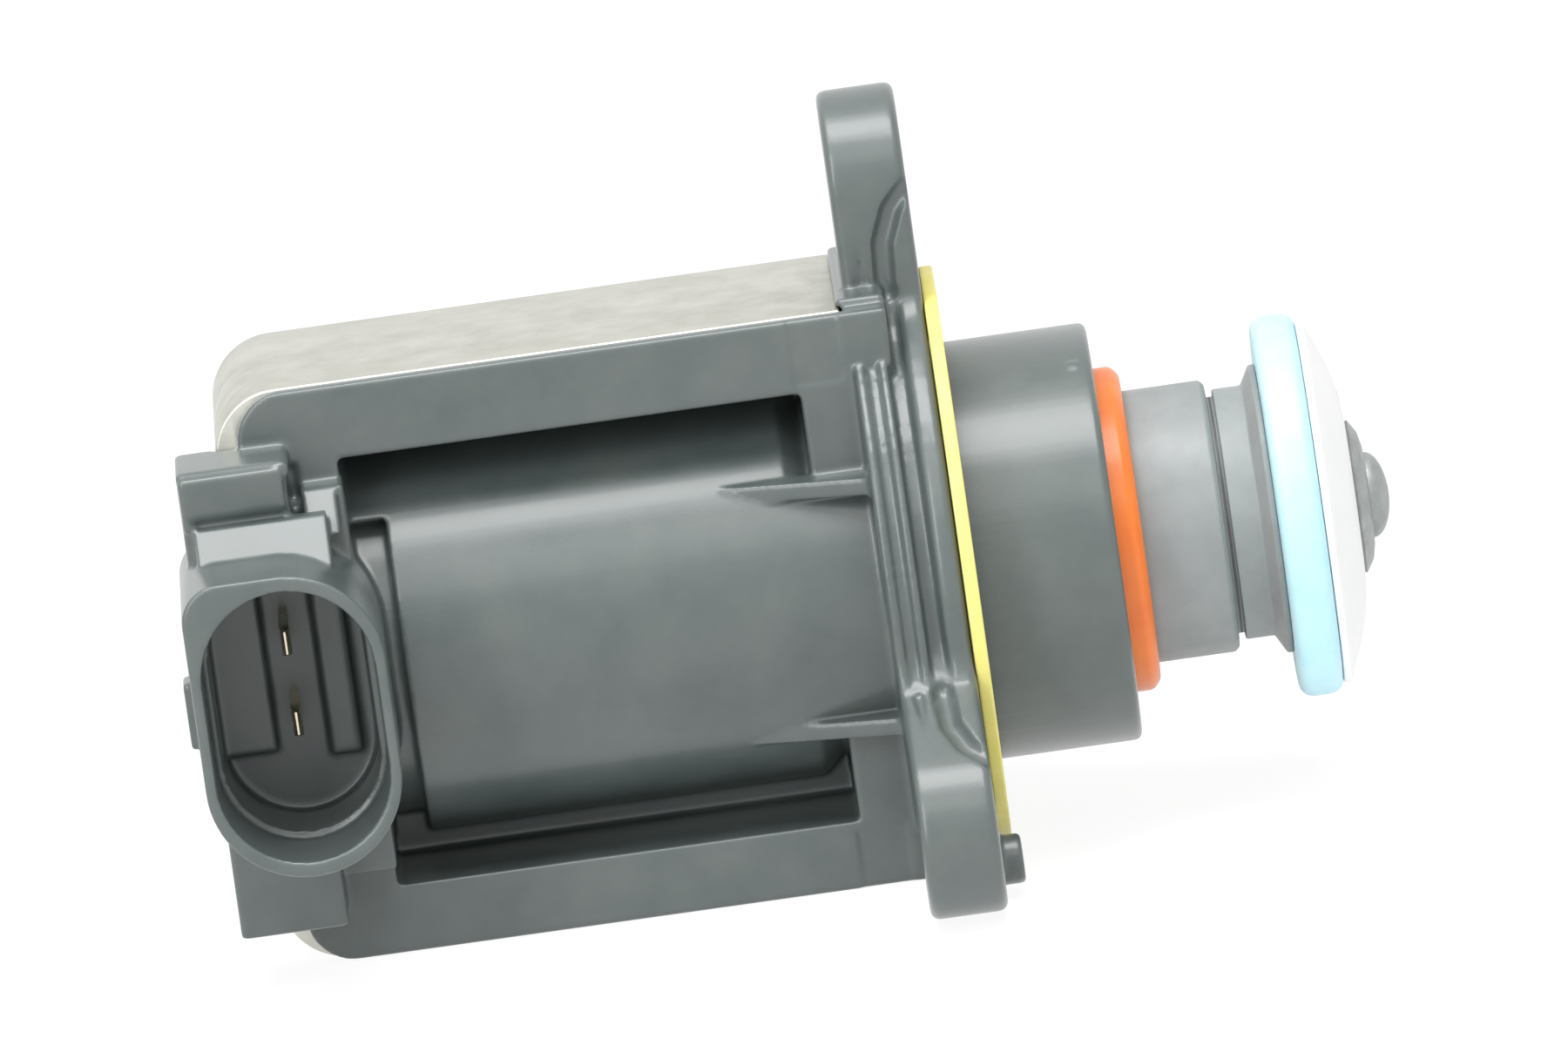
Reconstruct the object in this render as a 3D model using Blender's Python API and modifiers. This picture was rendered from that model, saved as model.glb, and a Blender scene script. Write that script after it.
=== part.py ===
"""Turbo boost solenoid valve: an electrically driven recirculation valve with a three-ear flange.

The valve's axis is X. The origin is the centre of the flange's mating face, the nose and the
sliding piston point to +X, and the plug socket opens to -Y. All lengths are in metres.
"""

from math import asin, cos, pi, radians, sin, sqrt

import bmesh
import bpy
from mathutils import Matrix, Vector

MODEL_NAME = "boost_valve"

# Clearances
GAP = 0.0003
CHAMBER_CLEARANCE = 0.001

# Flange, between its back face and the mating face at x = 0
FLANGE_THICKNESS = 0.0065
RIM_RADIUS = 0.024
RIM_THICKNESS = 0.0026
RIM_ROUNDING = 0.0009
GROOVE_WIDTH = 0.0017
GROOVE_DEPTH = 0.0026
BOLT_CIRCLE_RADIUS = 0.033
EAR_COUNT = 3
EAR_RADIUS = 0.0075
EAR_FILLET_RADIUS = 0.0048
BUSH_BORE_RADIUS = 0.00325
BUSH_WALL = 0.0013
PEG_RADIUS = 0.0021
PEG_HEIGHT = 0.0018
PEG_LUG_WALL = 0.0009
PEG_LUG_SINK = 0.0004
PEG_Y = -0.0225
PEG_Z = -0.0214
GASKET_RADIUS = 0.0241
GASKET_WIDTH = 0.0036
GASKET_THICKNESS = 0.0009

# Nose collar with its seal
COLLAR_WALL = 0.0027
COLLAR_LENGTH = 0.0132
COLLAR_LIP_LENGTH = 0.001
COLLAR_EDGE_ROUNDING = 0.0005
SEAL_BODY_STEP = 0.00095
SEAL_BODY_LENGTH = 0.0035
SEAL_LIP_WIDTH = 0.0019
SEAL_NOSE_LENGTH = 0.0022
RETAINER_THICKNESS = 0.0012

# Sliding piston
TRAVEL = 0.006
SKIRT_RADIUS = 0.01145
SKIRT_WALL = 0.0015
SKIRT_SHOULDER_X = 0.0223
SKIRT_GROOVE_WIDTH = 0.0006
SKIRT_GROOVE_DEPTH = 0.0005
SKIRT_NECK_RADIUS = 0.01055
PISTON_FLARE_RADIUS = 0.01215
PISTON_FLARE_LENGTH = 0.0006
PISTON_FACE_X = 0.0267
PISTON_FACE_THICKNESS = 0.0037
PISTON_STOP_WIDTH = 0.00125
PISTON_STOP_LENGTH = 0.0015
SEAL_DISC_RADIUS = 0.01605
SEAL_DISC_THICKNESS = 0.0032
SEAL_DISC_ROUNDING = 0.0012
CAP_RADIUS = 0.0153
CAP_EDGE_HEIGHT = 0.0006
CAP_HEIGHT = 0.003
CAP_TOP_RADIUS = 0.0064
BUTTON_RADIUS = 0.00645
BUTTON_EDGE_SLOPE = 0.00065
BUTTON_FLANGE_HEIGHT = 0.0009
BUTTON_DOME_RADIUS = 0.0036
BUTTON_DOME_HEIGHT = 0.0017
RIVET_RADIUS = 0.0024
RIVET_GRIP = 0.0075
WASHER_RADIUS = 0.005
WASHER_THICKNESS = 0.0007
BALANCE_HOLE_RADIUS = 0.0011
BALANCE_HOLE_CIRCLE = 0.0082

# Armature, guide tube, spring and stator
ARMATURE_RADIUS = 0.006
ARMATURE_BACK_X = -0.028
ARMATURE_SHOULDER_X = 0.008
ARMATURE_NECK_RADIUS = 0.004
ARMATURE_CHAMFER = 0.0008
GUIDE_TUBE_WALL = 0.0005
GUIDE_TUBE_START_X = -0.046
GUIDE_TUBE_END_X = 0.003
SHIM_THICKNESS = 0.0005
CORE_TAIL_RADIUS = 0.0035
CORE_HEAD_RADIUS = 0.005
CORE_HEAD_HEIGHT = 0.0008
SPRING_POCKET_RADIUS = 0.0036
ARMATURE_POCKET_DEPTH = 0.01
CORE_POCKET_DEPTH = 0.006
SPRING_WIRE_RADIUS = 0.00035
SPRING_TURNS = 8
O_RING_RADIUS = 0.0007
O_RING_X = -0.0045

# Coil
BOBBIN_START_X = -0.0549
BOBBIN_END_X = -0.0118
BOBBIN_RADIUS = 0.0136
BOBBIN_FLANGE_THICKNESS = 0.0016
BOBBIN_WALL = 0.001
WINDING_RADIUS = 0.013

# Steel yoke and pole plate
YOKE_WIDTH = 0.0228
YOKE_THICKNESS = 0.0025
YOKE_BACK_X = -0.060
YOKE_END_X = -0.007
YOKE_BEND_RADIUS = 0.0054
POLE_PLATE_THICKNESS = 0.0025
POLE_PLATE_WIDTH = 0.0218
POLE_PLATE_FACE_X = -0.0074

# Moulded body
BODY_HALF_HEIGHT = 0.0244
BODY_HALF_WIDTH = 0.014
BODY_BACK_X = -0.058
BODY_CORNER_RADIUS = 0.003
COVER_RADIUS = 0.0155
WINDOW_START_X = -0.050
WINDOW_END_X = -0.0112
WINDOW_TOP_Z = 0.0184
WINDOW_BOTTOM_Z = -0.0186
WINDOW_WEB_HALF_THICKNESS = 0.0015
BODY_ROOT_SHARE = 0.5
COVER_ROOT_SHARE = 0.4
COLLAR_ROOT_SHARE = 0.3
GUSSET_Z = 0.0103
GUSSET_THICKNESS = 0.0015
GUSSET_TIP_X = -0.022
GUSSET_REACH = 0.017

# Plug socket
TOWER_LEFT_X = -0.0634
TOWER_RIGHT_X = -0.0544
TOWER_HALF_HEIGHT = 0.020
TOWER_FACE_Y = -0.0192
NECK_HALF_HEIGHT = 0.0165
NECK_RIGHT_X = -0.0475
NECK_FACE_Y = -0.0158
BLADE_YOKE_CLEARANCE = 0.00085
SOCKET_MOUTH_Y = -0.0307
SOCKET_FLOOR_Y = -0.0142
SOCKET_STEP_Y = -0.022
SOCKET_STEP = 0.0007
SOCKET_HALF_WIDTH = 0.0072
SOCKET_HALF_HEIGHT = 0.0115
SOCKET_SIDE_WALL = 0.00095
SOCKET_END_WALL = 0.0013
SOCKET_SQUARE_CORNER_RADIUS = 0.0032
LATCH_LENGTH = 0.0032
LATCH_HEIGHT = 0.0057
LATCH_PROUD = 0.0008
LATCH_DEPTH = 0.0125
BLADE_WIDTH = 0.0028
BLADE_THICKNESS = 0.0008
BLADE_PITCH = 0.0069
BLADE_CENTRE_Z = 0.0016
BLADE_TIP_Y = -0.0212
BLADE_FOOT_Y = -0.0090

# Roundness of the meshes
LARGE_SEGMENTS = 40
SMALL_SEGMENTS = 20
ARC_STEP = radians(15)
RIM_ROUNDING_SEGMENTS = 2
CROWN_STEPS = 6
DOME_STEPS = 5
O_RING_SECTION_STEPS = 8
SPRING_STEPS_PER_TURN = 10
SMOOTH_ANGLE = radians(40)
ROUNDED_EDGE_ANGLE = radians(60)
EPSILON = 0.00001
OVERSHOOT = 0.001


def remove_old_objects():
    """Empty the scene before the valve is built."""
    for old in list(bpy.data.objects):
        bpy.data.objects.remove(old, do_unlink=True)


def make_collection(name):
    """Return a new collection that is linked to the scene."""
    collection = bpy.data.collections.new(name)
    bpy.context.scene.collection.children.link(collection)
    return collection


def make_material(name, color, roughness, metallic=0.0):
    """Return a Principled material with one colour."""
    material = bpy.data.materials.new(name)
    material.use_nodes = True
    shader = material.node_tree.nodes["Principled BSDF"]
    shader.inputs["Base Color"].default_value = (*color, 1.0)
    shader.inputs["Roughness"].default_value = roughness
    shader.inputs["Metallic"].default_value = metallic
    return material


def add_object(name, data):
    """Put new object data into the scene's own collection for now."""
    made = bpy.data.objects.new(name, data)
    bpy.context.scene.collection.objects.link(made)
    return made


def move_to(made, collection):
    """Move an object out of the scene's own collection into the given one."""
    bpy.context.scene.collection.objects.unlink(made)
    collection.objects.link(made)


def box(name, low, high):
    """Return a box between two corners."""
    mesh = bpy.data.meshes.new(name)
    shape = bmesh.new()
    bmesh.ops.create_cube(shape, size=1.0)
    size = Vector(high) - Vector(low)
    bmesh.ops.scale(shape, vec=size, verts=shape.verts)
    bmesh.ops.translate(shape, vec=(Vector(low) + Vector(high)) / 2, verts=shape.verts)
    shape.to_mesh(mesh)
    shape.free()
    return add_object(name, mesh)


def rod(name, start, end, radius, segments=SMALL_SEGMENTS):
    """Return a cylinder between two points."""
    start, end = Vector(start), Vector(end)
    mesh = bpy.data.meshes.new(name)
    shape = bmesh.new()
    length = (end - start).length
    bmesh.ops.create_cone(
        shape, cap_ends=True, segments=segments, radius1=radius, radius2=radius, depth=length
    )
    turn = (end - start).to_track_quat("Z", "Y").to_matrix().to_4x4()
    bmesh.ops.transform(shape, matrix=Matrix.Translation((start + end) / 2) @ turn, verts=shape.verts)
    shape.to_mesh(mesh)
    shape.free()
    mesh.shade_smooth()
    mesh.set_sharp_from_angle(angle=SMOOTH_ANGLE)
    return add_object(name, mesh)


def turned(name, profile, segments=LARGE_SEGMENTS):
    """Return a piece turned about the valve's axis from a profile of (x, radius) points.

    A profile whose ends both lie on the axis gives a solid piece, and any other is closed to a ring.
    """
    solid = profile[0][1] == 0 and profile[-1][1] == 0
    pairs = zip(profile, profile[1:] + profile[:1])
    area = sum(r0 * x1 - r1 * x0 for (x0, r0), (x1, r1) in pairs)
    ordered = profile if area < 0 else profile[::-1]
    count = len(ordered)
    edges = [(i, (i + 1) % count) for i in range(count - 1 if solid else count)]
    mesh = bpy.data.meshes.new(name)
    mesh.from_pydata([(radius, 0, x) for x, radius in ordered], edges, [])
    made = add_object(name, mesh)
    made.rotation_euler = (0, pi / 2, 0)
    screw = made.modifiers.new("turn", "SCREW")
    screw.steps = segments
    screw.render_steps = segments
    screw.use_merge_vertices = True
    screw.merge_threshold = EPSILON / 10
    screw.use_smooth_shade = True
    return made


def arc(centre, radius, start, end):
    """Return the points of an arc in a plane, both ends included."""
    steps = max(2, round(abs(end - start) / ARC_STEP))
    angles = [start + (end - start) * i / steps for i in range(steps + 1)]
    return [(centre[0] + radius * cos(a), centre[1] + radius * sin(a)) for a in angles]


PLANE_ROTATIONS = {"XY": (0, 0, 0), "XZ": (pi / 2, 0, 0), "YZ": (pi / 2, 0, pi / 2)}


def prism(name, outline, plane, low, high):
    """Return a flat outline extruded from low to high along the axis across its plane."""
    curve = bpy.data.curves.new(name + "_outline", "CURVE")
    curve.dimensions = "2D"
    curve.fill_mode = "BOTH"
    curve.extrude = (high - low) / 2
    spline = curve.splines.new("POLY")
    spline.points.add(len(outline) - 1)
    for point, (a, b) in zip(spline.points, outline):
        point.co = (a, b, 0, 1)
    spline.use_cyclic_u = True
    flat = add_object(name + "_outline", curve)
    flat.rotation_euler = PLANE_ROTATIONS[plane]
    middle = (low + high) / 2
    flat.location = {"XY": (0, 0, middle), "XZ": (0, middle, 0), "YZ": (middle, 0, 0)}[plane]
    bpy.context.view_layer.update()
    mesh = bpy.data.meshes.new_from_object(flat.evaluated_get(bpy.context.evaluated_depsgraph_get()))
    mesh.name = name
    shape = bmesh.new()
    shape.from_mesh(mesh)
    bmesh.ops.remove_doubles(shape, verts=shape.verts, dist=EPSILON / 10)
    bmesh.ops.recalc_face_normals(shape, faces=shape.faces)
    shape.to_mesh(mesh)
    shape.free()
    made = add_object(name, mesh)
    made.matrix_world = flat.matrix_world.copy()
    bpy.data.objects.remove(flat, do_unlink=True)
    return made


def join(made, operation, others, cutters):
    """Unite others with a piece or cut them out of it, and keep them as hidden helpers."""
    for other in others:
        boolean = made.modifiers.new(f"{operation.lower()}_{other.name}", "BOOLEAN")
        boolean.operation = operation
        boolean.solver = "EXACT"
        boolean.object = other
        other.hide_render = True
        other.display_type = "WIRE"
        if other.name not in cutters.objects:
            move_to(other, cutters)


def mirrored(outline):
    """Return an outline mirrored in its second axis, in the same turning direction."""
    return [(a, -b) for a, b in reversed(outline)]


def flange_outline(disc_radius, ear_radius):
    """Return the (y, z) outline of a disc with three ears and filleted roots."""
    root = disc_radius + EAR_FILLET_RADIUS
    side = ear_radius + EAR_FILLET_RADIUS
    along = sqrt(root ** 2 - side ** 2)
    lean = asin(side / root)
    outline = []
    for ear in range(EAR_COUNT):
        turn = pi / 2 + ear * 2 * pi / EAR_COUNT
        local = []
        local += arc((along, -side), EAR_FILLET_RADIUS, pi - lean, pi / 2)
        local += arc((BOLT_CIRCLE_RADIUS, 0), ear_radius, -pi / 2, pi / 2)
        local += arc((along, side), EAR_FILLET_RADIUS, -pi / 2, lean - pi)
        local += arc((0, 0), disc_radius, lean, 2 * pi / EAR_COUNT - lean)[1:-1]
        outline += [(a * cos(turn) - b * sin(turn), a * sin(turn) + b * cos(turn)) for a, b in local]
    return outline


def ear_centres():
    """Return the (y, z) centres of the three bolt holes, the top one first."""
    turns = [pi / 2 + ear * 2 * pi / EAR_COUNT for ear in range(EAR_COUNT)]
    return [(BOLT_CIRCLE_RADIUS * cos(turn), BOLT_CIRCLE_RADIUS * sin(turn)) for turn in turns]


def cylinder_profile(start, end, radius):
    """Return the turned profile of a solid cylinder on the valve's axis."""
    return [(start, 0), (start, radius), (end, radius), (end, 0)]


def ring_profile(start, end, inner, outer):
    """Return the turned profile of a plain ring on the valve's axis."""
    return [(start, inner), (start, outer), (end, outer), (end, inner)]


def yoke_outline(growth, end_x):
    """Return the (x, z) outline of the U-shaped strap, grown on all sides by a clearance."""
    outer_z = BODY_HALF_HEIGHT + growth
    inner_z = BODY_HALF_HEIGHT - YOKE_THICKNESS - growth
    outer_x = YOKE_BACK_X - growth
    inner_x = YOKE_BACK_X + YOKE_THICKNESS + growth
    outer_bend = YOKE_BEND_RADIUS + growth
    inner_bend = YOKE_BEND_RADIUS - YOKE_THICKNESS - growth
    upper = [(end_x, inner_z), (end_x, outer_z)]
    upper += arc((outer_x + outer_bend, outer_z - outer_bend), outer_bend, pi / 2, pi)
    hollow = arc((inner_x + inner_bend, inner_z - inner_bend), inner_bend, pi / 2, pi)
    return upper + mirrored(upper) + mirrored(hollow[::-1]) + hollow[::-1]


def body_outline():
    """Return the (x, z) outline of the boxy body, whose root lies inside the flange."""
    corner = (BODY_BACK_X + BODY_CORNER_RADIUS, BODY_HALF_HEIGHT - BODY_CORNER_RADIUS)
    upper = [(-FLANGE_THICKNESS * BODY_ROOT_SHARE, BODY_HALF_HEIGHT)]
    upper += arc(corner, BODY_CORNER_RADIUS, pi / 2, pi)
    return upper + mirrored(upper)


def socket_centre_x():
    """Return where the socket and its blades stand, clear of the strap's end."""
    return YOKE_BACK_X + YOKE_THICKNESS + BLADE_YOKE_CLEARANCE + BLADE_THICKNESS / 2


def socket_outline(half_width, half_height, square_corner):
    """Return the (x, z) outline of the socket: round ends, and one squarer upper corner."""
    left = socket_centre_x() - half_width
    top = half_height
    outline = arc((socket_centre_x(), half_width - half_height), half_width, -pi, 0)
    outline += arc((socket_centre_x(), half_height - half_width), half_width, 0, pi / 2)
    if square_corner:
        outline += arc((left + square_corner, top - square_corner), square_corner, pi / 2, pi)
    else:
        outline += arc((socket_centre_x(), half_height - half_width), half_width, pi / 2, pi)[1:]
    return outline


def blade_outline(growth):
    """Return the (x, y) outline of an L-shaped contact blade, grown by a clearance."""
    left = socket_centre_x() - BLADE_THICKNESS / 2 - growth
    right = socket_centre_x() + BLADE_THICKNESS / 2 + growth
    foot_right = BOBBIN_START_X - GAP + growth
    foot_bottom = BLADE_FOOT_Y + growth
    foot_top = BLADE_FOOT_Y - BLADE_THICKNESS - growth
    tip = BLADE_TIP_Y - growth
    return [(left, tip), (right, tip), (right, foot_top), (foot_right, foot_top),
            (foot_right, foot_bottom), (left, foot_bottom)]


def blade_prisms(name, growth):
    """Return both contact blades, or their slots, as extruded outlines."""
    half = BLADE_WIDTH / 2 + growth
    middles = (BLADE_CENTRE_Z + BLADE_PITCH / 2, BLADE_CENTRE_Z - BLADE_PITCH / 2)
    return [prism(f"{name}_{number}", blade_outline(growth), "XY", z - half, z + half)
            for number, z in enumerate(middles, start=1)]


def guide_tube_radius():
    """Return the outer radius of the guide tube around the armature."""
    return ARMATURE_RADIUS + GAP + GUIDE_TUBE_WALL


def retainer_back_x():
    """Return where the seal retainer's back face lies."""
    return COLLAR_LENGTH - COLLAR_LIP_LENGTH - GAP - SEAL_BODY_LENGTH - GAP - RETAINER_THICKNESS


def piston_stop_x():
    """Return where the piston's stop rim begins at rest."""
    return retainer_back_x() - GAP - PISTON_STOP_LENGTH


def seal_inner_radius():
    """Return the inner radius of the lip seal, clear of the piston's skirt."""
    return SKIRT_RADIUS + GAP


def seal_nose_radius():
    """Return the outer radius of the lip that stands out of the collar."""
    return seal_inner_radius() + SEAL_LIP_WIDTH


def seal_body_radius():
    """Return the outer radius of the seal's body and of the ring behind it."""
    return seal_nose_radius() + SEAL_BODY_STEP


def collar_radius():
    """Return the outer radius of the nose collar round the seal."""
    return seal_body_radius() + GAP + COLLAR_WALL


def piston_stop_radius():
    """Return the radius of the piston's rim, which stops on the retaining ring."""
    return SKIRT_RADIUS + PISTON_STOP_WIDTH


def chamber_floor_x():
    """Return where the floor of the piston chamber lies, clear of the open piston."""
    return piston_stop_x() - TRAVEL - CHAMBER_CLEARANCE


def o_ring_seat_radius():
    """Return the radius of the groove that holds the O-ring round the guide tube."""
    return guide_tube_radius() + 2 * (O_RING_RADIUS + GAP)


def nose_bore():
    """Return the profile of everything hollow round the axis, from the chamber to the core."""
    shoulder = retainer_back_x() - GAP
    lip = COLLAR_LENGTH - COLLAR_LIP_LENGTH
    tube = guide_tube_radius() + GAP
    ring = o_ring_seat_radius()
    half_ring = O_RING_RADIUS + GAP
    coil_start = BOBBIN_START_X - GAP
    coil_end = BOBBIN_END_X + GAP
    return [
        (COLLAR_LENGTH + OVERSHOOT, 0),
        (COLLAR_LENGTH + OVERSHOOT, seal_nose_radius() + GAP),
        (lip, seal_nose_radius() + GAP),
        (lip, seal_body_radius() + GAP),
        (shoulder, seal_body_radius() + GAP),
        (shoulder, piston_stop_radius() + GAP),
        (chamber_floor_x(), piston_stop_radius() + GAP),
        (chamber_floor_x(), tube),
        (O_RING_X + half_ring, tube),
        (O_RING_X + half_ring, ring),
        (O_RING_X - half_ring, ring),
        (O_RING_X - half_ring, tube),
        (coil_end, tube),
        (coil_end, BOBBIN_RADIUS + GAP),
        (coil_start, BOBBIN_RADIUS + GAP),
        (coil_start, tube),
        (YOKE_BACK_X, tube),
        (YOKE_BACK_X, 0),
    ]


def round_edges(made, width):
    """Round a prism's outer edges."""
    bevel = made.modifiers.new("rounded_edges", "BEVEL")
    bevel.width = width
    bevel.segments = RIM_ROUNDING_SEGMENTS
    bevel.limit_method = "ANGLE"
    bevel.angle_limit = ROUNDED_EDGE_ANGLE


def build_flange_blank(cutters):
    """Return the eared flange with its rounded rim and the groove between rim and rib."""
    flange = prism("flange", flange_outline(RIM_RADIUS, EAR_RADIUS), "YZ", -FLANGE_THICKNESS, 0)
    round_edges(flange, RIM_ROUNDING)
    groove_front = -RIM_THICKNESS
    groove_back = groove_front - GROOVE_WIDTH
    reach = BOLT_CIRCLE_RADIUS + 2 * EAR_RADIUS
    groove = rod("groove_ring", (groove_back, 0, 0), (groove_front, 0, 0), reach, LARGE_SEGMENTS)
    floor = prism("groove_floor", flange_outline(RIM_RADIUS - GROOVE_DEPTH, EAR_RADIUS + OVERSHOOT / 2),
                  "YZ", groove_back - OVERSHOOT, groove_front + OVERSHOOT)
    join(groove, "DIFFERENCE", [floor], cutters)
    join(flange, "DIFFERENCE", [groove], cutters)
    return flange


def peg_blanks():
    """Return the locating peg and the lug that carries it beside the front lower ear."""
    sunk = PEG_LUG_SINK
    return [
        rod("peg_lug", (sunk - FLANGE_THICKNESS, PEG_Y, PEG_Z), (-sunk, PEG_Y, PEG_Z),
            PEG_RADIUS + PEG_LUG_WALL),
        rod("peg", (-FLANGE_THICKNESS / 2, PEG_Y, PEG_Z), (PEG_HEIGHT, PEG_Y, PEG_Z), PEG_RADIUS),
    ]


def build_body_blank(cutters):
    """Return the boxy body with the window pockets in both sides."""
    body = prism("housing", body_outline(), "XZ", -BODY_HALF_WIDTH, BODY_HALF_WIDTH)
    join(body, "DIFFERENCE", window_cutters(), cutters)
    return body


def barrel_blanks():
    """Return the turned parts of the housing: the coil cover and the nose collar."""
    edge = COLLAR_LENGTH - COLLAR_EDGE_ROUNDING
    root = -FLANGE_THICKNESS * COLLAR_ROOT_SHARE
    radius = collar_radius()
    collar = [(root, 0), (root, radius), (edge, radius),
              (COLLAR_LENGTH, radius - COLLAR_EDGE_ROUNDING), (COLLAR_LENGTH, 0)]
    cover_start = BOBBIN_START_X - OVERSHOOT
    cover_end = -FLANGE_THICKNESS * COVER_ROOT_SHARE
    return [
        turned("coil_cover", cylinder_profile(cover_start, cover_end, COVER_RADIUS)),
        turned("collar", collar),
    ]


def gusset_blanks():
    """Return the four triangular ribs between the coil cover and the flange."""
    foot_y = sqrt(COVER_RADIUS ** 2 - (GUSSET_Z + GUSSET_THICKNESS / 2) ** 2) - OVERSHOOT
    tip_y = foot_y + OVERSHOOT / 2
    end_x = -FLANGE_THICKNESS + OVERSHOOT
    outline = [(GUSSET_TIP_X, tip_y), (end_x, GUSSET_REACH), (end_x, foot_y), (GUSSET_TIP_X, foot_y)]
    blanks = []
    for level, z in (("upper", GUSSET_Z), ("lower", -GUSSET_Z)):
        for place, points in (("back", outline), ("front", mirrored(outline))):
            low = z - GUSSET_THICKNESS / 2
            high = z + GUSSET_THICKNESS / 2
            blanks.append(prism(f"{level}_{place}_gusset", points, "XY", low, high))
    return blanks


def socket_blanks():
    """Return the solids of the plug socket: its tower, neck, shroud and latch nose."""
    root_y = -(YOKE_WIDTH / 2 + GAP) - OVERSHOOT
    shroud_root_y = root_y - OVERSHOOT / 2
    neck_root_y = root_y + OVERSHOOT / 2
    outer_half_width = SOCKET_HALF_WIDTH + SOCKET_SIDE_WALL
    outer_half_height = SOCKET_HALF_HEIGHT + SOCKET_END_WALL
    shroud = socket_outline(outer_half_width, outer_half_height, SOCKET_SQUARE_CORNER_RADIUS)
    latch_end = SOCKET_MOUTH_Y + LATCH_DEPTH
    latch_left = socket_centre_x() - outer_half_width - LATCH_PROUD
    return [
        box("tower", (TOWER_LEFT_X, TOWER_FACE_Y, -TOWER_HALF_HEIGHT),
            (TOWER_RIGHT_X, root_y, TOWER_HALF_HEIGHT)),
        box("neck", (socket_centre_x(), NECK_FACE_Y, -NECK_HALF_HEIGHT),
            (NECK_RIGHT_X, neck_root_y, NECK_HALF_HEIGHT)),
        prism("shroud", shroud, "XZ", SOCKET_MOUTH_Y, shroud_root_y),
        box("latch_nose", (latch_left, latch_end - LATCH_LENGTH, -LATCH_HEIGHT / 2),
            (socket_centre_x() - SOCKET_HALF_WIDTH - SOCKET_SIDE_WALL / 2, latch_end, LATCH_HEIGHT / 2)),
    ]


def housing_cutters():
    """Return the cutters for every pocket, bore and slot of the moulded housing."""
    slot_y = YOKE_WIDTH / 2 + GAP
    plate_y = POLE_PLATE_WIDTH / 2 + GAP
    plate_z = BODY_HALF_HEIGHT - YOKE_THICKNESS
    yoke_slot = yoke_outline(GAP, YOKE_END_X + GAP)
    cutters = [
        prism("yoke_slot", yoke_slot, "XZ", -slot_y, slot_y),
        box("pole_plate_slot",
            (POLE_PLATE_FACE_X - POLE_PLATE_THICKNESS - GAP, -plate_y, -plate_z),
            (POLE_PLATE_FACE_X + GAP, plate_y, plate_z)),
        prism("socket_mouth", socket_outline(SOCKET_HALF_WIDTH, SOCKET_HALF_HEIGHT, 0), "XZ",
              SOCKET_MOUTH_Y - OVERSHOOT, SOCKET_STEP_Y),
        prism("socket_inside",
              socket_outline(SOCKET_HALF_WIDTH - SOCKET_STEP, SOCKET_HALF_HEIGHT - SOCKET_STEP, 0),
              "XZ", SOCKET_STEP_Y - OVERSHOOT, SOCKET_FLOOR_Y),
    ]
    for ear, (y, z) in enumerate(ear_centres(), start=1):
        cutters.append(rod(f"bush_hole_{ear}", (-FLANGE_THICKNESS - OVERSHOOT, y, z), (OVERSHOOT, y, z),
                           BUSH_BORE_RADIUS + BUSH_WALL + GAP))
    return cutters + blade_prisms("blade_slot", GAP) + [turned("nose_bore", nose_bore())]


def window_cutters():
    """Return the pockets in both sides of the body, which leave a thin web between them."""
    far = BODY_HALF_WIDTH + OVERSHOOT
    web = WINDOW_WEB_HALF_THICKNESS
    return [
        box(f"{place}_window", (WINDOW_START_X, low, WINDOW_BOTTOM_Z), (WINDOW_END_X, high, WINDOW_TOP_Z))
        for place, low, high in (("front", -far, -web), ("back", web, far))
    ]


def build_housing(cutters):
    """Return the glass-filled plastic housing, moulded in one piece round the coil and yoke."""
    housing = build_body_blank(cutters)
    flange = build_flange_blank(cutters)
    blanks = barrel_blanks() + [flange] + peg_blanks() + gusset_blanks() + socket_blanks()
    join(housing, "UNION", blanks, cutters)
    join(housing, "DIFFERENCE", housing_cutters(), cutters)
    return housing


def build_yoke(cutters):
    """Return the zinc-plated steel strap, bent to a U round the coil."""
    yoke = prism("yoke_bracket", yoke_outline(0, YOKE_END_X), "XZ", -YOKE_WIDTH / 2, YOKE_WIDTH / 2)
    hole = rod("core_hole", (YOKE_BACK_X - OVERSHOOT, 0, 0),
               (YOKE_BACK_X + YOKE_THICKNESS + OVERSHOOT, 0, 0), CORE_TAIL_RADIUS + GAP)
    join(yoke, "DIFFERENCE", [hole], cutters)
    return yoke


def build_pole_plate(cutters):
    """Return the steel plate that closes the magnetic path between the strap's ends."""
    back_x = POLE_PLATE_FACE_X - POLE_PLATE_THICKNESS
    half_height = BODY_HALF_HEIGHT - YOKE_THICKNESS - GAP
    plate = box("pole_plate", (back_x, -POLE_PLATE_WIDTH / 2, -half_height),
                (POLE_PLATE_FACE_X, POLE_PLATE_WIDTH / 2, half_height))
    hole = rod("pole_plate_hole", (back_x - OVERSHOOT, 0, 0), (POLE_PLATE_FACE_X + OVERSHOOT, 0, 0),
               guide_tube_radius() + GAP, LARGE_SEGMENTS)
    join(plate, "DIFFERENCE", [hole], cutters)
    return plate


def build_bobbin():
    """Return the plastic spool that carries the winding."""
    bore = guide_tube_radius() + GAP
    barrel = bore + BOBBIN_WALL
    left = BOBBIN_START_X + BOBBIN_FLANGE_THICKNESS
    right = BOBBIN_END_X - BOBBIN_FLANGE_THICKNESS
    return turned("coil_bobbin", [
        (BOBBIN_START_X, bore), (BOBBIN_START_X, BOBBIN_RADIUS), (left, BOBBIN_RADIUS), (left, barrel),
        (right, barrel), (right, BOBBIN_RADIUS), (BOBBIN_END_X, BOBBIN_RADIUS), (BOBBIN_END_X, bore),
    ], SMALL_SEGMENTS)


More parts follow.
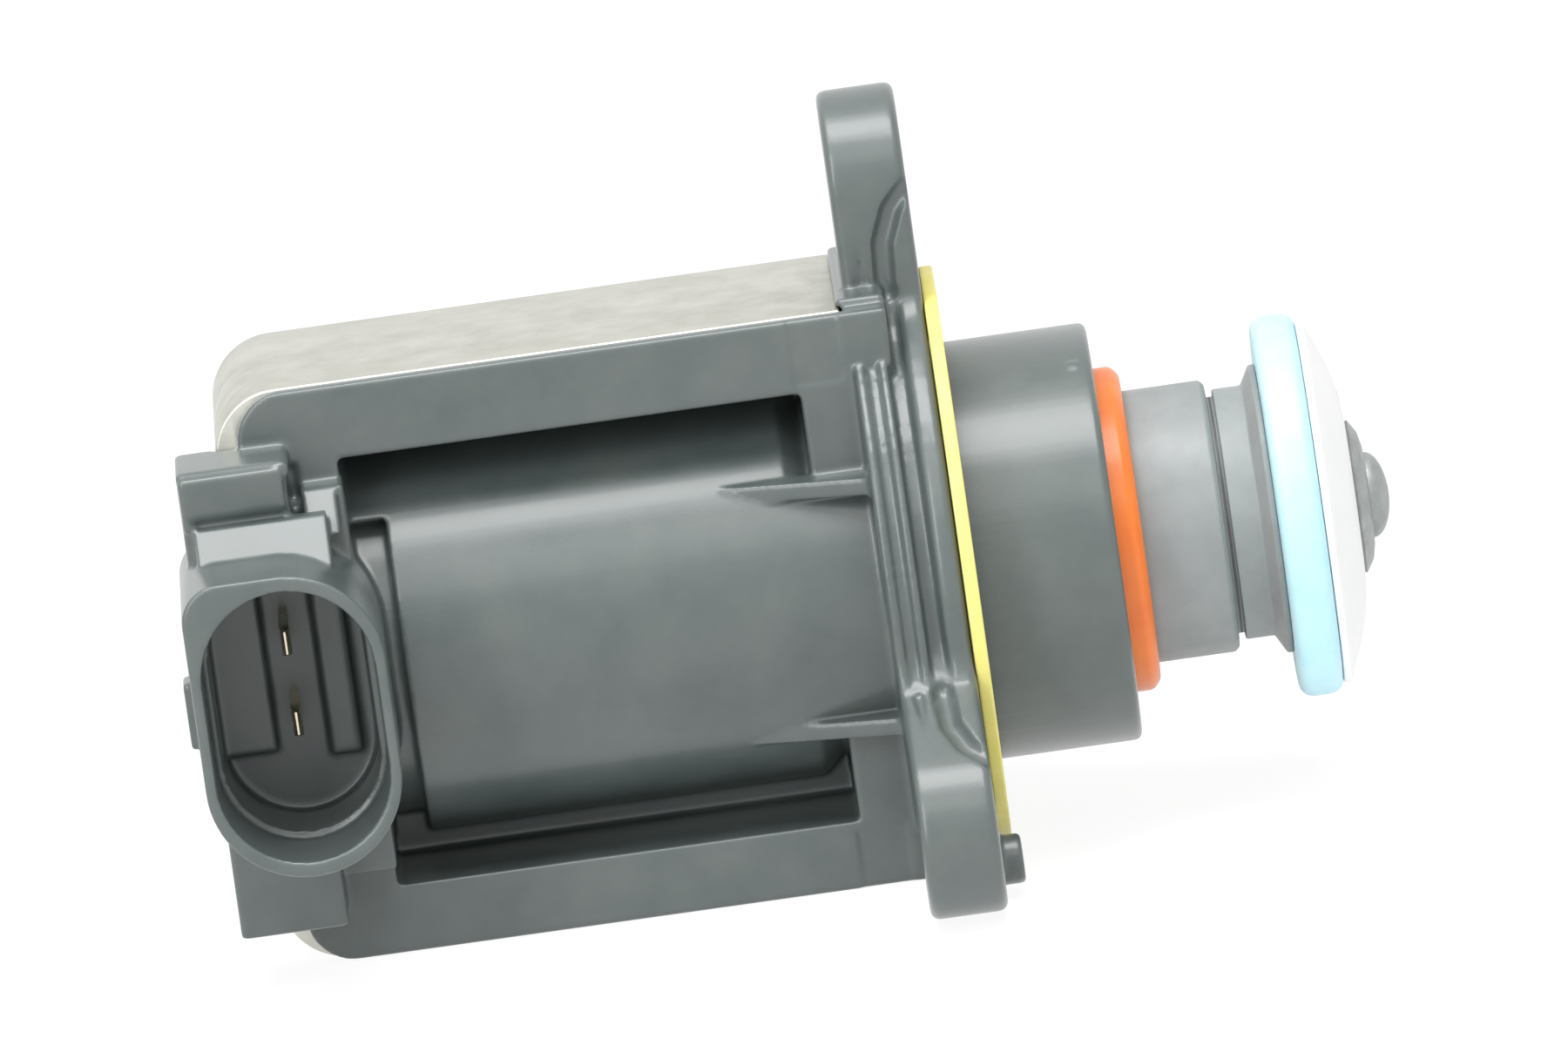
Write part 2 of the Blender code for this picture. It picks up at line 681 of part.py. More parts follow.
def build_winding():
    """Return the copper winding as one solid ring between the spool's flanges."""
    start = BOBBIN_START_X + BOBBIN_FLANGE_THICKNESS + GAP
    end = BOBBIN_END_X - BOBBIN_FLANGE_THICKNESS - GAP
    inner = guide_tube_radius() + GAP + BOBBIN_WALL + GAP
    return turned("coil_winding", ring_profile(start, end, inner, WINDING_RADIUS), SMALL_SEGMENTS)


def shim_face_x():
    """Return where the open armature's back face would lie, on the shim's front face."""
    return ARMATURE_BACK_X - TRAVEL - GAP


def core_face_x():
    """Return where the stator core's front face lies, behind the shim."""
    return shim_face_x() - SHIM_THICKNESS - GAP


def build_stator_core():
    """Return the fixed steel core, whose tail is staked through the strap's end."""
    face = core_face_x()
    shoulder = YOKE_BACK_X + YOKE_THICKNESS + GAP
    head_front = YOKE_BACK_X - GAP
    head_back = head_front - CORE_HEAD_HEIGHT
    step = GUIDE_TUBE_START_X - GAP
    pocket = face - CORE_POCKET_DEPTH
    return turned("stator_core", [
        (head_back, 0), (head_back, CORE_HEAD_RADIUS - CORE_HEAD_HEIGHT / 2),
        (head_back + CORE_HEAD_HEIGHT / 2, CORE_HEAD_RADIUS), (head_front, CORE_HEAD_RADIUS),
        (head_front, CORE_TAIL_RADIUS), (shoulder, CORE_TAIL_RADIUS), (shoulder, guide_tube_radius()),
        (step, guide_tube_radius()), (step, ARMATURE_RADIUS), (face, ARMATURE_RADIUS),
        (face, SPRING_POCKET_RADIUS), (pocket, SPRING_POCKET_RADIUS), (pocket, 0),
    ], SMALL_SEGMENTS)


def build_shim():
    """Return the thin non-magnetic ring that keeps the armature from sticking to the core."""
    return turned("stop_shim", ring_profile(
        shim_face_x() - SHIM_THICKNESS, shim_face_x(), SPRING_POCKET_RADIUS, ARMATURE_RADIUS), SMALL_SEGMENTS)


def build_guide_tube():
    """Return the thin brass tube that guides the armature."""
    inner = ARMATURE_RADIUS + GAP
    outer = inner + GUIDE_TUBE_WALL
    return turned("guide_tube", ring_profile(GUIDE_TUBE_START_X, GUIDE_TUBE_END_X, inner, outer),
                  SMALL_SEGMENTS)


def build_o_ring():
    """Return the rubber ring that seals the guide tube in the housing."""
    middle = guide_tube_radius() + GAP + O_RING_RADIUS
    angles = [2 * pi * step / O_RING_SECTION_STEPS for step in range(O_RING_SECTION_STEPS)]
    section = [(O_RING_X + O_RING_RADIUS * cos(a), middle + O_RING_RADIUS * sin(a)) for a in angles]
    return turned("guide_o_ring", section, SMALL_SEGMENTS)


def build_flange_bushes():
    """Return the three steel bushes that take the clamping load of the bolts."""
    bushes = []
    for ear, (y, z) in enumerate(ear_centres(), start=1):
        bush = turned(f"flange_bush_{ear}", ring_profile(
            -FLANGE_THICKNESS, 0, BUSH_BORE_RADIUS, BUSH_BORE_RADIUS + BUSH_WALL), SMALL_SEGMENTS)
        bush.location = (0, y, z)
        bushes.append(bush)
    return bushes


def build_gasket():
    """Return the flat sealing ring on the mating face."""
    return turned("flange_gasket", ring_profile(
        GAP, GAP + GASKET_THICKNESS, GASKET_RADIUS - GASKET_WIDTH, GASKET_RADIUS))


def build_lip_seal():
    """Return the soft ring that seals the piston's skirt at the collar's mouth."""
    start = COLLAR_LENGTH - COLLAR_LIP_LENGTH - GAP - SEAL_BODY_LENGTH
    step = COLLAR_LENGTH - COLLAR_LIP_LENGTH - GAP
    end = COLLAR_LENGTH + SEAL_NOSE_LENGTH
    outer = seal_body_radius()
    rounding = SEAL_LIP_WIDTH / 2
    nose = [(end - rounding + a, seal_nose_radius() - rounding + b)
            for a, b in arc((0, 0), rounding, pi / 2, -pi / 2)]
    return turned("lip_seal", [(start, seal_inner_radius()), (start, outer), (step, outer),
                               (step, seal_nose_radius())] + nose)


def build_seal_retainer():
    """Return the ring behind the lip seal, on which the piston's rim stops."""
    back = retainer_back_x()
    return turned("seal_retainer", ring_profile(
        back, back + RETAINER_THICKNESS, seal_inner_radius(), seal_body_radius()))


def build_return_spring():
    """Return the compression spring between the core's pocket and the armature's pocket."""
    start = core_face_x() - CORE_POCKET_DEPTH + GAP + SPRING_WIRE_RADIUS
    end = ARMATURE_BACK_X + ARMATURE_POCKET_DEPTH - GAP - SPRING_WIRE_RADIUS
    radius = SPRING_POCKET_RADIUS - GAP - SPRING_WIRE_RADIUS
    count = SPRING_TURNS * SPRING_STEPS_PER_TURN
    curve = bpy.data.curves.new("return_spring", "CURVE")
    curve.dimensions = "3D"
    curve.bevel_depth = SPRING_WIRE_RADIUS
    curve.bevel_resolution = 2
    curve.use_fill_caps = True
    spline = curve.splines.new("POLY")
    spline.points.add(count)
    for i, point in enumerate(spline.points):
        turn = 2 * pi * i / SPRING_STEPS_PER_TURN
        x = start + (end - start) * i / count
        point.co = (x, radius * cos(turn), radius * sin(turn), 1)
    return add_object("return_spring", curve)


def build_armature():
    """Return the sliding steel armature, bored for the spring behind and the rivet in front."""
    front = armature_front_x()
    pocket = ARMATURE_BACK_X + ARMATURE_POCKET_DEPTH
    bore_end = front - RIVET_GRIP
    chamfer = ARMATURE_CHAMFER
    return turned("armature", [
        (pocket, 0), (pocket, SPRING_POCKET_RADIUS), (ARMATURE_BACK_X, SPRING_POCKET_RADIUS),
        (ARMATURE_BACK_X, ARMATURE_RADIUS - chamfer), (ARMATURE_BACK_X + chamfer, ARMATURE_RADIUS),
        (ARMATURE_SHOULDER_X, ARMATURE_RADIUS),
        (ARMATURE_SHOULDER_X + ARMATURE_RADIUS - ARMATURE_NECK_RADIUS, ARMATURE_NECK_RADIUS),
        (front, ARMATURE_NECK_RADIUS), (front, RIVET_RADIUS + GAP), (bore_end, RIVET_RADIUS + GAP),
        (bore_end, 0),
    ], SMALL_SEGMENTS)


def armature_front_x():
    """Return where the armature's front face lies, behind the washer and the piston's face wall."""
    return PISTON_FACE_X - PISTON_FACE_THICKNESS - GAP - WASHER_THICKNESS - GAP


def build_washer():
    """Return the steel washer between the armature and the piston."""
    start = armature_front_x() + GAP
    return turned("backing_washer", ring_profile(
        start, start + WASHER_THICKNESS, RIVET_RADIUS + GAP, WASHER_RADIUS), SMALL_SEGMENTS)


def balance_hole_cutters(name, start, end):
    """Return the two holes that let boost pressure through to the chamber."""
    return [
        rod(f"{name}_{place}_hole", (start, 0, z), (end, 0, z), BALANCE_HOLE_RADIUS, SMALL_SEGMENTS // 2)
        for place, z in (("upper", BALANCE_HOLE_CIRCLE), ("lower", -BALANCE_HOLE_CIRCLE))
    ]


def build_piston(cutters):
    """Return the plastic cup piston with its skirt, stop rim and face wall."""
    start = piston_stop_x()
    inner = SKIRT_RADIUS - SKIRT_WALL
    wall_back = PISTON_FACE_X - PISTON_FACE_THICKNESS
    groove_end = SKIRT_SHOULDER_X + SKIRT_GROOVE_WIDTH
    flare_start = PISTON_FACE_X - PISTON_FLARE_LENGTH
    flare_foot = flare_start - (PISTON_FLARE_RADIUS - SKIRT_NECK_RADIUS)
    stop_end = start + PISTON_STOP_LENGTH
    piston = turned("piston", [
        (start, inner), (start, piston_stop_radius()), (stop_end, piston_stop_radius()),
        (stop_end, SKIRT_RADIUS), (SKIRT_SHOULDER_X, SKIRT_RADIUS),
        (SKIRT_SHOULDER_X, SKIRT_NECK_RADIUS - SKIRT_GROOVE_DEPTH),
        (groove_end, SKIRT_NECK_RADIUS - SKIRT_GROOVE_DEPTH), (groove_end, SKIRT_NECK_RADIUS),
        (flare_foot, SKIRT_NECK_RADIUS), (flare_start, PISTON_FLARE_RADIUS),
        (PISTON_FACE_X, PISTON_FLARE_RADIUS), (PISTON_FACE_X, RIVET_RADIUS + GAP),
        (wall_back, RIVET_RADIUS + GAP), (wall_back, inner),
    ])
    holes = balance_hole_cutters("piston", wall_back - OVERSHOOT, PISTON_FACE_X + OVERSHOOT)
    join(piston, "DIFFERENCE", holes, cutters)
    return piston


def build_seal_disc(cutters):
    """Return the soft disc that closes the boost passage."""
    start = PISTON_FACE_X + GAP
    end = start + SEAL_DISC_THICKNESS
    bend = SEAL_DISC_ROUNDING
    edge = SEAL_DISC_RADIUS - bend
    rim = [(start + bend + a, edge + b) for a, b in arc((0, 0), bend, pi, pi / 2)]
    rim += [(end - bend + a, edge + b) for a, b in arc((0, 0), bend, pi / 2, 0)]
    bore = RIVET_RADIUS + GAP
    disc = turned("seal_disc", [(start, bore)] + rim + [(end, bore)])
    join(disc, "DIFFERENCE", balance_hole_cutters("disc", start - OVERSHOOT, end + OVERSHOOT), cutters)
    return disc


def cap_start_x():
    """Return where the cap's flat back lies, in front of the seal disc."""
    return PISTON_FACE_X + GAP + SEAL_DISC_THICKNESS + GAP


def build_cap(cutters):
    """Return the white cap that clamps the seal disc, crowned towards the rivet."""
    start = cap_start_x()
    end = start + CAP_HEIGHT
    crown = []
    for i in range(CROWN_STEPS + 1):
        share = i / CROWN_STEPS
        radius = CAP_RADIUS + (CAP_TOP_RADIUS - CAP_RADIUS) * share
        height = CAP_EDGE_HEIGHT + (CAP_HEIGHT - CAP_EDGE_HEIGHT) * sin(share * pi / 2)
        crown.append((start + height, radius))
    bore = RIVET_RADIUS + GAP
    cap = turned("disc_cap", [(start, bore), (start, CAP_RADIUS)] + crown + [(end, bore)])
    join(cap, "DIFFERENCE", balance_hole_cutters("cap", start - OVERSHOOT, end + OVERSHOOT), cutters)
    return cap


def build_rivet():
    """Return the rivet whose domed button clamps cap, disc and piston to the armature."""
    start = cap_start_x() + CAP_HEIGHT + GAP
    tail = armature_front_x() - RIVET_GRIP + GAP
    flange_end = start + BUTTON_FLANGE_HEIGHT
    dome = []
    for i in range(DOME_STEPS + 1):
        angle = i / DOME_STEPS * pi / 2
        dome.append((flange_end + BUTTON_DOME_HEIGHT * sin(angle), BUTTON_DOME_RADIUS * cos(angle)))
    dome[-1] = (flange_end + BUTTON_DOME_HEIGHT, 0)
    return turned("rivet_button", [
        (tail, 0), (tail, RIVET_RADIUS), (start, RIVET_RADIUS), (start, BUTTON_RADIUS),
        (flange_end, BUTTON_RADIUS - BUTTON_EDGE_SLOPE),
    ] + dome)


def paint(pieces, name, color, roughness, metallic=0.0):
    """Give each piece a material of its own."""
    for piece in pieces:
        suffix = f"_{piece.name}" if len(pieces) > 1 else ""
        piece.data.materials.append(make_material(name + suffix, color, roughness, metallic))


def main():
    """Build the valve and sort its pieces and cutters into their collections."""
    remove_old_objects()
    cutters = make_collection("cutters")
    model = make_collection(MODEL_NAME)
    finishes = [
        ([build_housing(cutters)], "black_moulding", (0.045, 0.05, 0.055), 0.4, 0.0),
        ([build_yoke(cutters)], "zinc_plate", (0.78, 0.78, 0.74), 0.35, 1.0),
        ([build_pole_plate(cutters)], "pole_steel", (0.55, 0.55, 0.55), 0.4, 1.0),
        ([build_bobbin()], "spool_plastic", (0.75, 0.72, 0.62), 0.5, 0.0),
        ([build_winding()], "copper_wire", (0.72, 0.36, 0.18), 0.35, 1.0),
        ([build_stator_core()], "core_steel", (0.5, 0.5, 0.5), 0.35, 1.0),
        ([build_shim()], "shim_brass", (0.75, 0.6, 0.3), 0.35, 1.0),
        ([build_guide_tube()], "tube_brass", (0.75, 0.6, 0.3), 0.3, 1.0),
        ([build_o_ring()], "ring_rubber", (0.02, 0.02, 0.02), 0.6, 0.0),
        (build_flange_bushes(), "bush_steel", (0.6, 0.6, 0.58), 0.35, 1.0),
        (blade_prisms("terminal_blade", 0), "tinned_blade", (0.75, 0.74, 0.7), 0.25, 1.0),
        ([build_gasket()], "yellow_rubber", (0.85, 0.75, 0.1), 0.5, 0.0),
        ([build_lip_seal()], "orange_rubber", (0.9, 0.2, 0.03), 0.45, 0.0),
        ([build_seal_retainer()], "retainer_steel", (0.5, 0.5, 0.5), 0.4, 1.0),
        ([build_return_spring()], "spring_steel", (0.55, 0.55, 0.55), 0.3, 1.0),
        ([build_armature()], "armature_steel", (0.5, 0.5, 0.5), 0.35, 1.0),
        ([build_washer()], "washer_steel", (0.6, 0.6, 0.6), 0.35, 1.0),
        ([build_piston(cutters)], "piston_plastic", (0.12, 0.13, 0.13), 0.5, 0.0),
        ([build_seal_disc(cutters)], "blue_rubber", (0.5, 0.8, 0.95), 0.5, 0.0),
        ([build_cap(cutters)], "white_plastic", (0.9, 0.9, 0.9), 0.45, 0.0),
        ([build_rivet()], "rivet_steel", (0.35, 0.37, 0.36), 0.4, 1.0),
    ]
    for pieces, name, color, roughness, metallic in finishes:
        paint(pieces, name, color, roughness, metallic)
        for piece in pieces:
            move_to(piece, model)


main()
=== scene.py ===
"""Looks of the turbo boost solenoid valve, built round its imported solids.

Every length is in metres, and every place is in the frame of the solids: +X runs along the
valve's axis towards the nose, +Z points to the upper ear, and the plug socket opens to -Y.
"""

from __future__ import annotations

import logging
from collections.abc import Sequence
from dataclasses import dataclass
from enum import Enum
from math import asin, cos, pi, radians, sin, sqrt

import bpy
from bpy.types import Material, Node, NodeSocket, NodeTree, Object
from mathutils import Matrix, Vector

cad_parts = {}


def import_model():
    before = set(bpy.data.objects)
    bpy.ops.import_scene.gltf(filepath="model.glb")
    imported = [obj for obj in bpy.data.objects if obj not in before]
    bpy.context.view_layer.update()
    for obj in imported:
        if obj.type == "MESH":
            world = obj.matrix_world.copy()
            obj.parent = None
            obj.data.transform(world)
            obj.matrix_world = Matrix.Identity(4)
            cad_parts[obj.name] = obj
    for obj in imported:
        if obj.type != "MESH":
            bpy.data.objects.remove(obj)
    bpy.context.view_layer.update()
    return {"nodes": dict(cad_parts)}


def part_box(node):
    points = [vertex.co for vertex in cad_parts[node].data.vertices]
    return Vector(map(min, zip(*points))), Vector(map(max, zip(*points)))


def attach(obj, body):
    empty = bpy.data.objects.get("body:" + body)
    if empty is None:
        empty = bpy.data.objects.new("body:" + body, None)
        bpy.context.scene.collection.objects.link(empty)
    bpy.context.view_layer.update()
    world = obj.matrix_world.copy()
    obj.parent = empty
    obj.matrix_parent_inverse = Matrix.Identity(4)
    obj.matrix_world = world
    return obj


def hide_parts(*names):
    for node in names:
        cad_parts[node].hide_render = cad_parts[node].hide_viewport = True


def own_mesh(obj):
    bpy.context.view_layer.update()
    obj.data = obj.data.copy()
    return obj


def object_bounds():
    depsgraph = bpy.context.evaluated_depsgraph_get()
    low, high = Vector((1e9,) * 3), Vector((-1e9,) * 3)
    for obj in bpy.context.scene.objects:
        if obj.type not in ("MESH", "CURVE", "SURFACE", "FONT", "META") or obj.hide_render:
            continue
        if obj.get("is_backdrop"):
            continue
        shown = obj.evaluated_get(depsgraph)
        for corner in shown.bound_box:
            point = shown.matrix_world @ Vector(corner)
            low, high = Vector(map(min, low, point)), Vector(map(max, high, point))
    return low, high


log = logging.getLogger("boost_valve")

Spot = tuple[float, float, float]
Flat = tuple[float, float]
Colour = tuple[float, float, float]

WHITE = (1.0, 1.0, 1.0, 1.0)

# Lengths: where points meet, a gap too fine to see, a cutter's reach, a seam that is closed
TINY = 0.000001
HAIR = 0.00005
OVERSHOOT = 0.001
WELD = 0.000002

# Angles, shares and steps
SMOOTH_ANGLE = radians(35)
EDGE_ANGLE = radians(50)
ARC_STEP = radians(5)
EAR_TURNS = [pi / 2 + number * 2 * pi / 3 for number in range(3)]
CORNER_SHARE = 0.45
ROUND_STEPS = 128
ROD_STEPS = 64
HOLE_STEPS = 32
FINE_STEPS = 24


class Body(Enum):
    """The two bodies that the pieces ride on."""

    VALVE = "valve_body"
    PISTON = "piston_assembly"


class Plane(Enum):
    """The plane of an outline: its first axis, its second axis and the axis across it."""

    XY = (0, 1, 2)
    XZ = (0, 2, 1)
    YZ = (1, 2, 0)

    def spot(self, first: float, second: float, across: float) -> Spot:
        """Return the place of a point of an outline.

        Args:
            first: The point's place along the first axis.
            second: The point's place along the second axis.
            across: Its place along the axis across the plane.

        Returns:
            The place as x, y and z.
        """
        place = [0.0, 0.0, 0.0]
        for axis, value in zip(self.value, (first, second, across)):
            place[axis] = value
        return place[0], place[1], place[2]


# Bench tools: selecting, outlines, prisms, turned pieces, cutting and joining


def only(*pieces: Object) -> None:
    """Select these pieces alone and make the first one active."""
    bpy.ops.object.select_all(action="DESELECT")
    for piece in pieces:
        piece.select_set(True)
    bpy.context.view_layer.objects.active = pieces[0]


def edit(piece: Object) -> None:
    """Open a piece in edit mode with all of it selected."""
    only(piece)
    bpy.ops.object.mode_set(mode="EDIT")
    bpy.ops.mesh.select_all(action="SELECT")


def close(outward: bool = True) -> None:
    """Merge doubles, turn the faces outwards and leave edit mode."""
    bpy.ops.mesh.select_all(action="SELECT")
    bpy.ops.mesh.remove_doubles(threshold=TINY)
    if outward:
        bpy.ops.mesh.normals_make_consistent(inside=False)
    bpy.ops.object.mode_set(mode="OBJECT")


def add_modifier(piece: Object, kind: str, **settings: object) -> None:
    """Add one modifier with its settings and apply it.

    Args:
        piece: The piece that the modifier works on.
        kind: The modifier's type.
        **settings: The modifier's own settings.
    """
    only(piece)
    modifier = piece.modifiers.new(kind.lower(), kind)
    for name, value in settings.items():
        setattr(modifier, name, value)
    bpy.ops.object.modifier_apply(modifier=modifier.name)


def bevel(piece: Object, width: float, steps: int = 3, angle: float = EDGE_ANGLE) -> Object:
    """Round the edges of a piece that are sharper than an angle.

    Args:
        piece: The piece.
        width: How far its edges are rounded, or 0 to leave them sharp.
        steps: How many faces round an edge.
        angle: The angle.

    Returns:
        The same piece.
    """
    if width:
        add_modifier(piece, "BEVEL", width=width, segments=steps, limit_method="ANGLE",
                     angle_limit=angle)
    return piece


def soften(piece: Object) -> Object:
    """Shade a piece smooth except at its sharp edges, and return it."""
    only(piece)
    bpy.ops.object.shade_smooth_by_angle(angle=SMOOTH_ANGLE)
    return piece


def ring_of_points(name: str, points: Sequence[Spot], filled: bool) -> Object:
    """Return a circle primitive whose vertices are moved onto a closed line of points.

    Args:
        name: The piece's name.
        points: The line's points in order.
        filled: Whether a face closes the line.

    Returns:
        The flat piece.
    """
    bpy.ops.object.select_all(action="DESELECT")
    bpy.ops.mesh.primitive_circle_add(
        vertices=len(points), radius=1.0, fill_type="NGON" if filled else "NOTHING"
    )
    piece = bpy.context.active_object
    piece.name = name
    piece.data.name = name
    piece.data.vertices.foreach_set("co", [value for point in points for value in point])
    return piece


def prism(name: str, outline: Sequence[Flat], plane: Plane, low: float, high: float,
          edge: float = 0.0) -> Object:
    """Return an outline extruded across its plane.

    Args:
        name: The piece's name.
        outline: The outline's points.
        plane: The plane that the outline lies in.
        low: Where the prism begins.
        high: Where it ends.
        edge: How far its sharp edges are rounded.

    Returns:
        The closed prism.
    """
    piece = ring_of_points(name, [plane.spot(a, b, low) for a, b in outline], True)
    edit(piece)
    bpy.ops.mesh.extrude_region_move(
        TRANSFORM_OT_translate={"value": plane.spot(0.0, 0.0, high - low)}
    )
    close()
    return bevel(piece, edge)


def block(name: str, low: Spot, high: Spot, edge: float = 0.0) -> Object:
    """Return a box between two corners, with its edges rounded."""
    outline = [(low[0], low[1]), (high[0], low[1]), (high[0], high[1]), (low[0], high[1])]
    return prism(name, outline, Plane.XY, low[2], high[2], edge)


def between(start: Spot, end: Spot) -> dict[str, object]:
    """Return the length, place and turn of a round primitive between two points."""
    first, last = Vector(start), Vector(end)
    turn = (last - first).to_track_quat("Z", "Y").to_euler()
    return {"depth": (last - first).length, "location": (first + last) / 2, "rotation": turn}


def settled(name: str) -> Object:
    """Name the primitive that was just added, apply its place and return it."""
    piece = bpy.context.active_object
    piece.name = name
    bpy.ops.object.transform_apply(location=True, rotation=True, scale=True)
    return piece


def rod(name: str, start: Spot, end: Spot, radius: float, edge: float = 0.0,
        steps: int = ROD_STEPS) -> Object:
    """Return a round bar between two points.

    Args:
        name: The piece's name.
        start: The centre of its first end.
        end: The centre of its second end.
        radius: Its radius.
        edge: How far its end edges are rounded.
        steps: How many faces it has round it.

    Returns:
        The closed bar.
    """
    bpy.ops.object.select_all(action="DESELECT")
    bpy.ops.mesh.primitive_cylinder_add(vertices=steps, radius=radius, **between(start, end))
    return bevel(settled(name), edge)


def spike(name: str, start: Spot, tip: Spot, radius: float, tip_share: float = 0.12) -> Object:
    """Return a round spike that runs out to a fine blunt tip.

    Args:
        name: The piece's name.
        start: The centre of its foot.
        tip: The centre of its tip.
        radius: Its radius at the foot.
        tip_share: The tip's radius, as a share of the foot's.

    Returns:
        The closed spike.
    """
    bpy.ops.object.select_all(action="DESELECT")
    bpy.ops.mesh.primitive_cone_add(vertices=FINE_STEPS, radius1=radius,
                                    radius2=radius * tip_share, **between(start, tip))
    return settled(name)


def rounded(points: Sequence[Flat], reach: float, steps: int = 4) -> list[Flat]:
    """Return a closed line of points with its corners rounded, save those on the axis.

    Args:
        points: The line's points as x and radius.
        reach: How far from its corner a rounding begins.
        steps: How many edges a rounding has.

    Returns:
        The longer line of points.
    """
    line = []
    count = len(points)
    for i, corner in enumerate(points):
        if corner[1] < TINY:
            line.append(corner)
            continue
        here = Vector(corner)
        before = Vector(points[i - 1]) - here
        after = Vector(points[(i + 1) % count]) - here
        start = here + before.normalized() * min(reach, before.length * CORNER_SHARE)
        end = here + after.normalized() * min(reach, after.length * CORNER_SHARE)
        for step in range(steps + 1):
            t = step / steps
            spot = start * (1 - t) ** 2 + here * 2 * t * (1 - t) + end * t ** 2
            line.append((spot.x, spot.y))
    return line


def turned(name: str, profile: Sequence[Flat], centre: Flat = (0.0, 0.0),
           steps: int = ROUND_STEPS) -> Object:
    """Return a piece spun round an axis parallel to X.

    Args:
        name: The piece's name.
        profile: The closed line of its section, as x and radius.
        centre: Where the axis lies, as y and z.
        steps: How many faces it has round it.

    Returns:
        The closed piece.
    """
    y, z = centre
    piece = ring_of_points(name, [(x, y, z + radius) for x, radius in profile], False)
    edit(piece)
    bpy.ops.mesh.spin(steps=steps, angle=2 * pi, center=(0.0, y, z), axis=(1.0, 0.0, 0.0))
    close()
    return soften(piece)


def hoop(start: float, end: float, inner: float, outer: float) -> list[Flat]:
    """Return the section of a plain ring, as x and radius."""
    return [(start, inner), (start, outer), (end, outer), (end, inner)]


def cut(piece: Object, tools: Sequence[Object]) -> Object:
    """Cut tools out of a piece, delete them and return the piece."""
    return boolean(piece, "DIFFERENCE", tools)


def unite(piece: Object, others: Sequence[Object]) -> Object:
    """Unite other pieces with a piece, delete them and return the piece."""
    return boolean(piece, "UNION", others)


def boolean(piece: Object, operation: str, others: Sequence[Object]) -> Object:
    """Unite others with a piece or cut them out of it, and close the fine seams after each.

    Args:
        piece: The piece that is changed.
        operation: UNION or DIFFERENCE.
        others: The pieces that are used up.

    Returns:
        The changed piece.
    """
    for other in others:
        add_modifier(piece, "BOOLEAN", operation=operation, solver="EXACT", object=other)
        bpy.data.objects.remove(other, do_unlink=True)
        edit(piece)
        bpy.ops.mesh.remove_doubles(threshold=WELD)
        bpy.ops.mesh.dissolve_degenerate(threshold=WELD / 2)
        bpy.ops.object.mode_set(mode="OBJECT")
    return piece


def arc(centre: Flat, radius: float, start: float, end: float) -> list[Flat]:
    """Return the points of an arc, both ends included."""
    steps = max(2, round(abs(end - start) / ARC_STEP))
    angles = [start + (end - start) * i / steps for i in range(steps + 1)]
    return [(centre[0] + radius * cos(a), centre[1] + radius * sin(a)) for a in angles]


def mirrored(outline: Sequence[Flat]) -> list[Flat]:
    """Return an outline mirrored in its second axis, in the same turning direction."""
    return [(a, -b) for a, b in reversed(outline)]


# Finishes


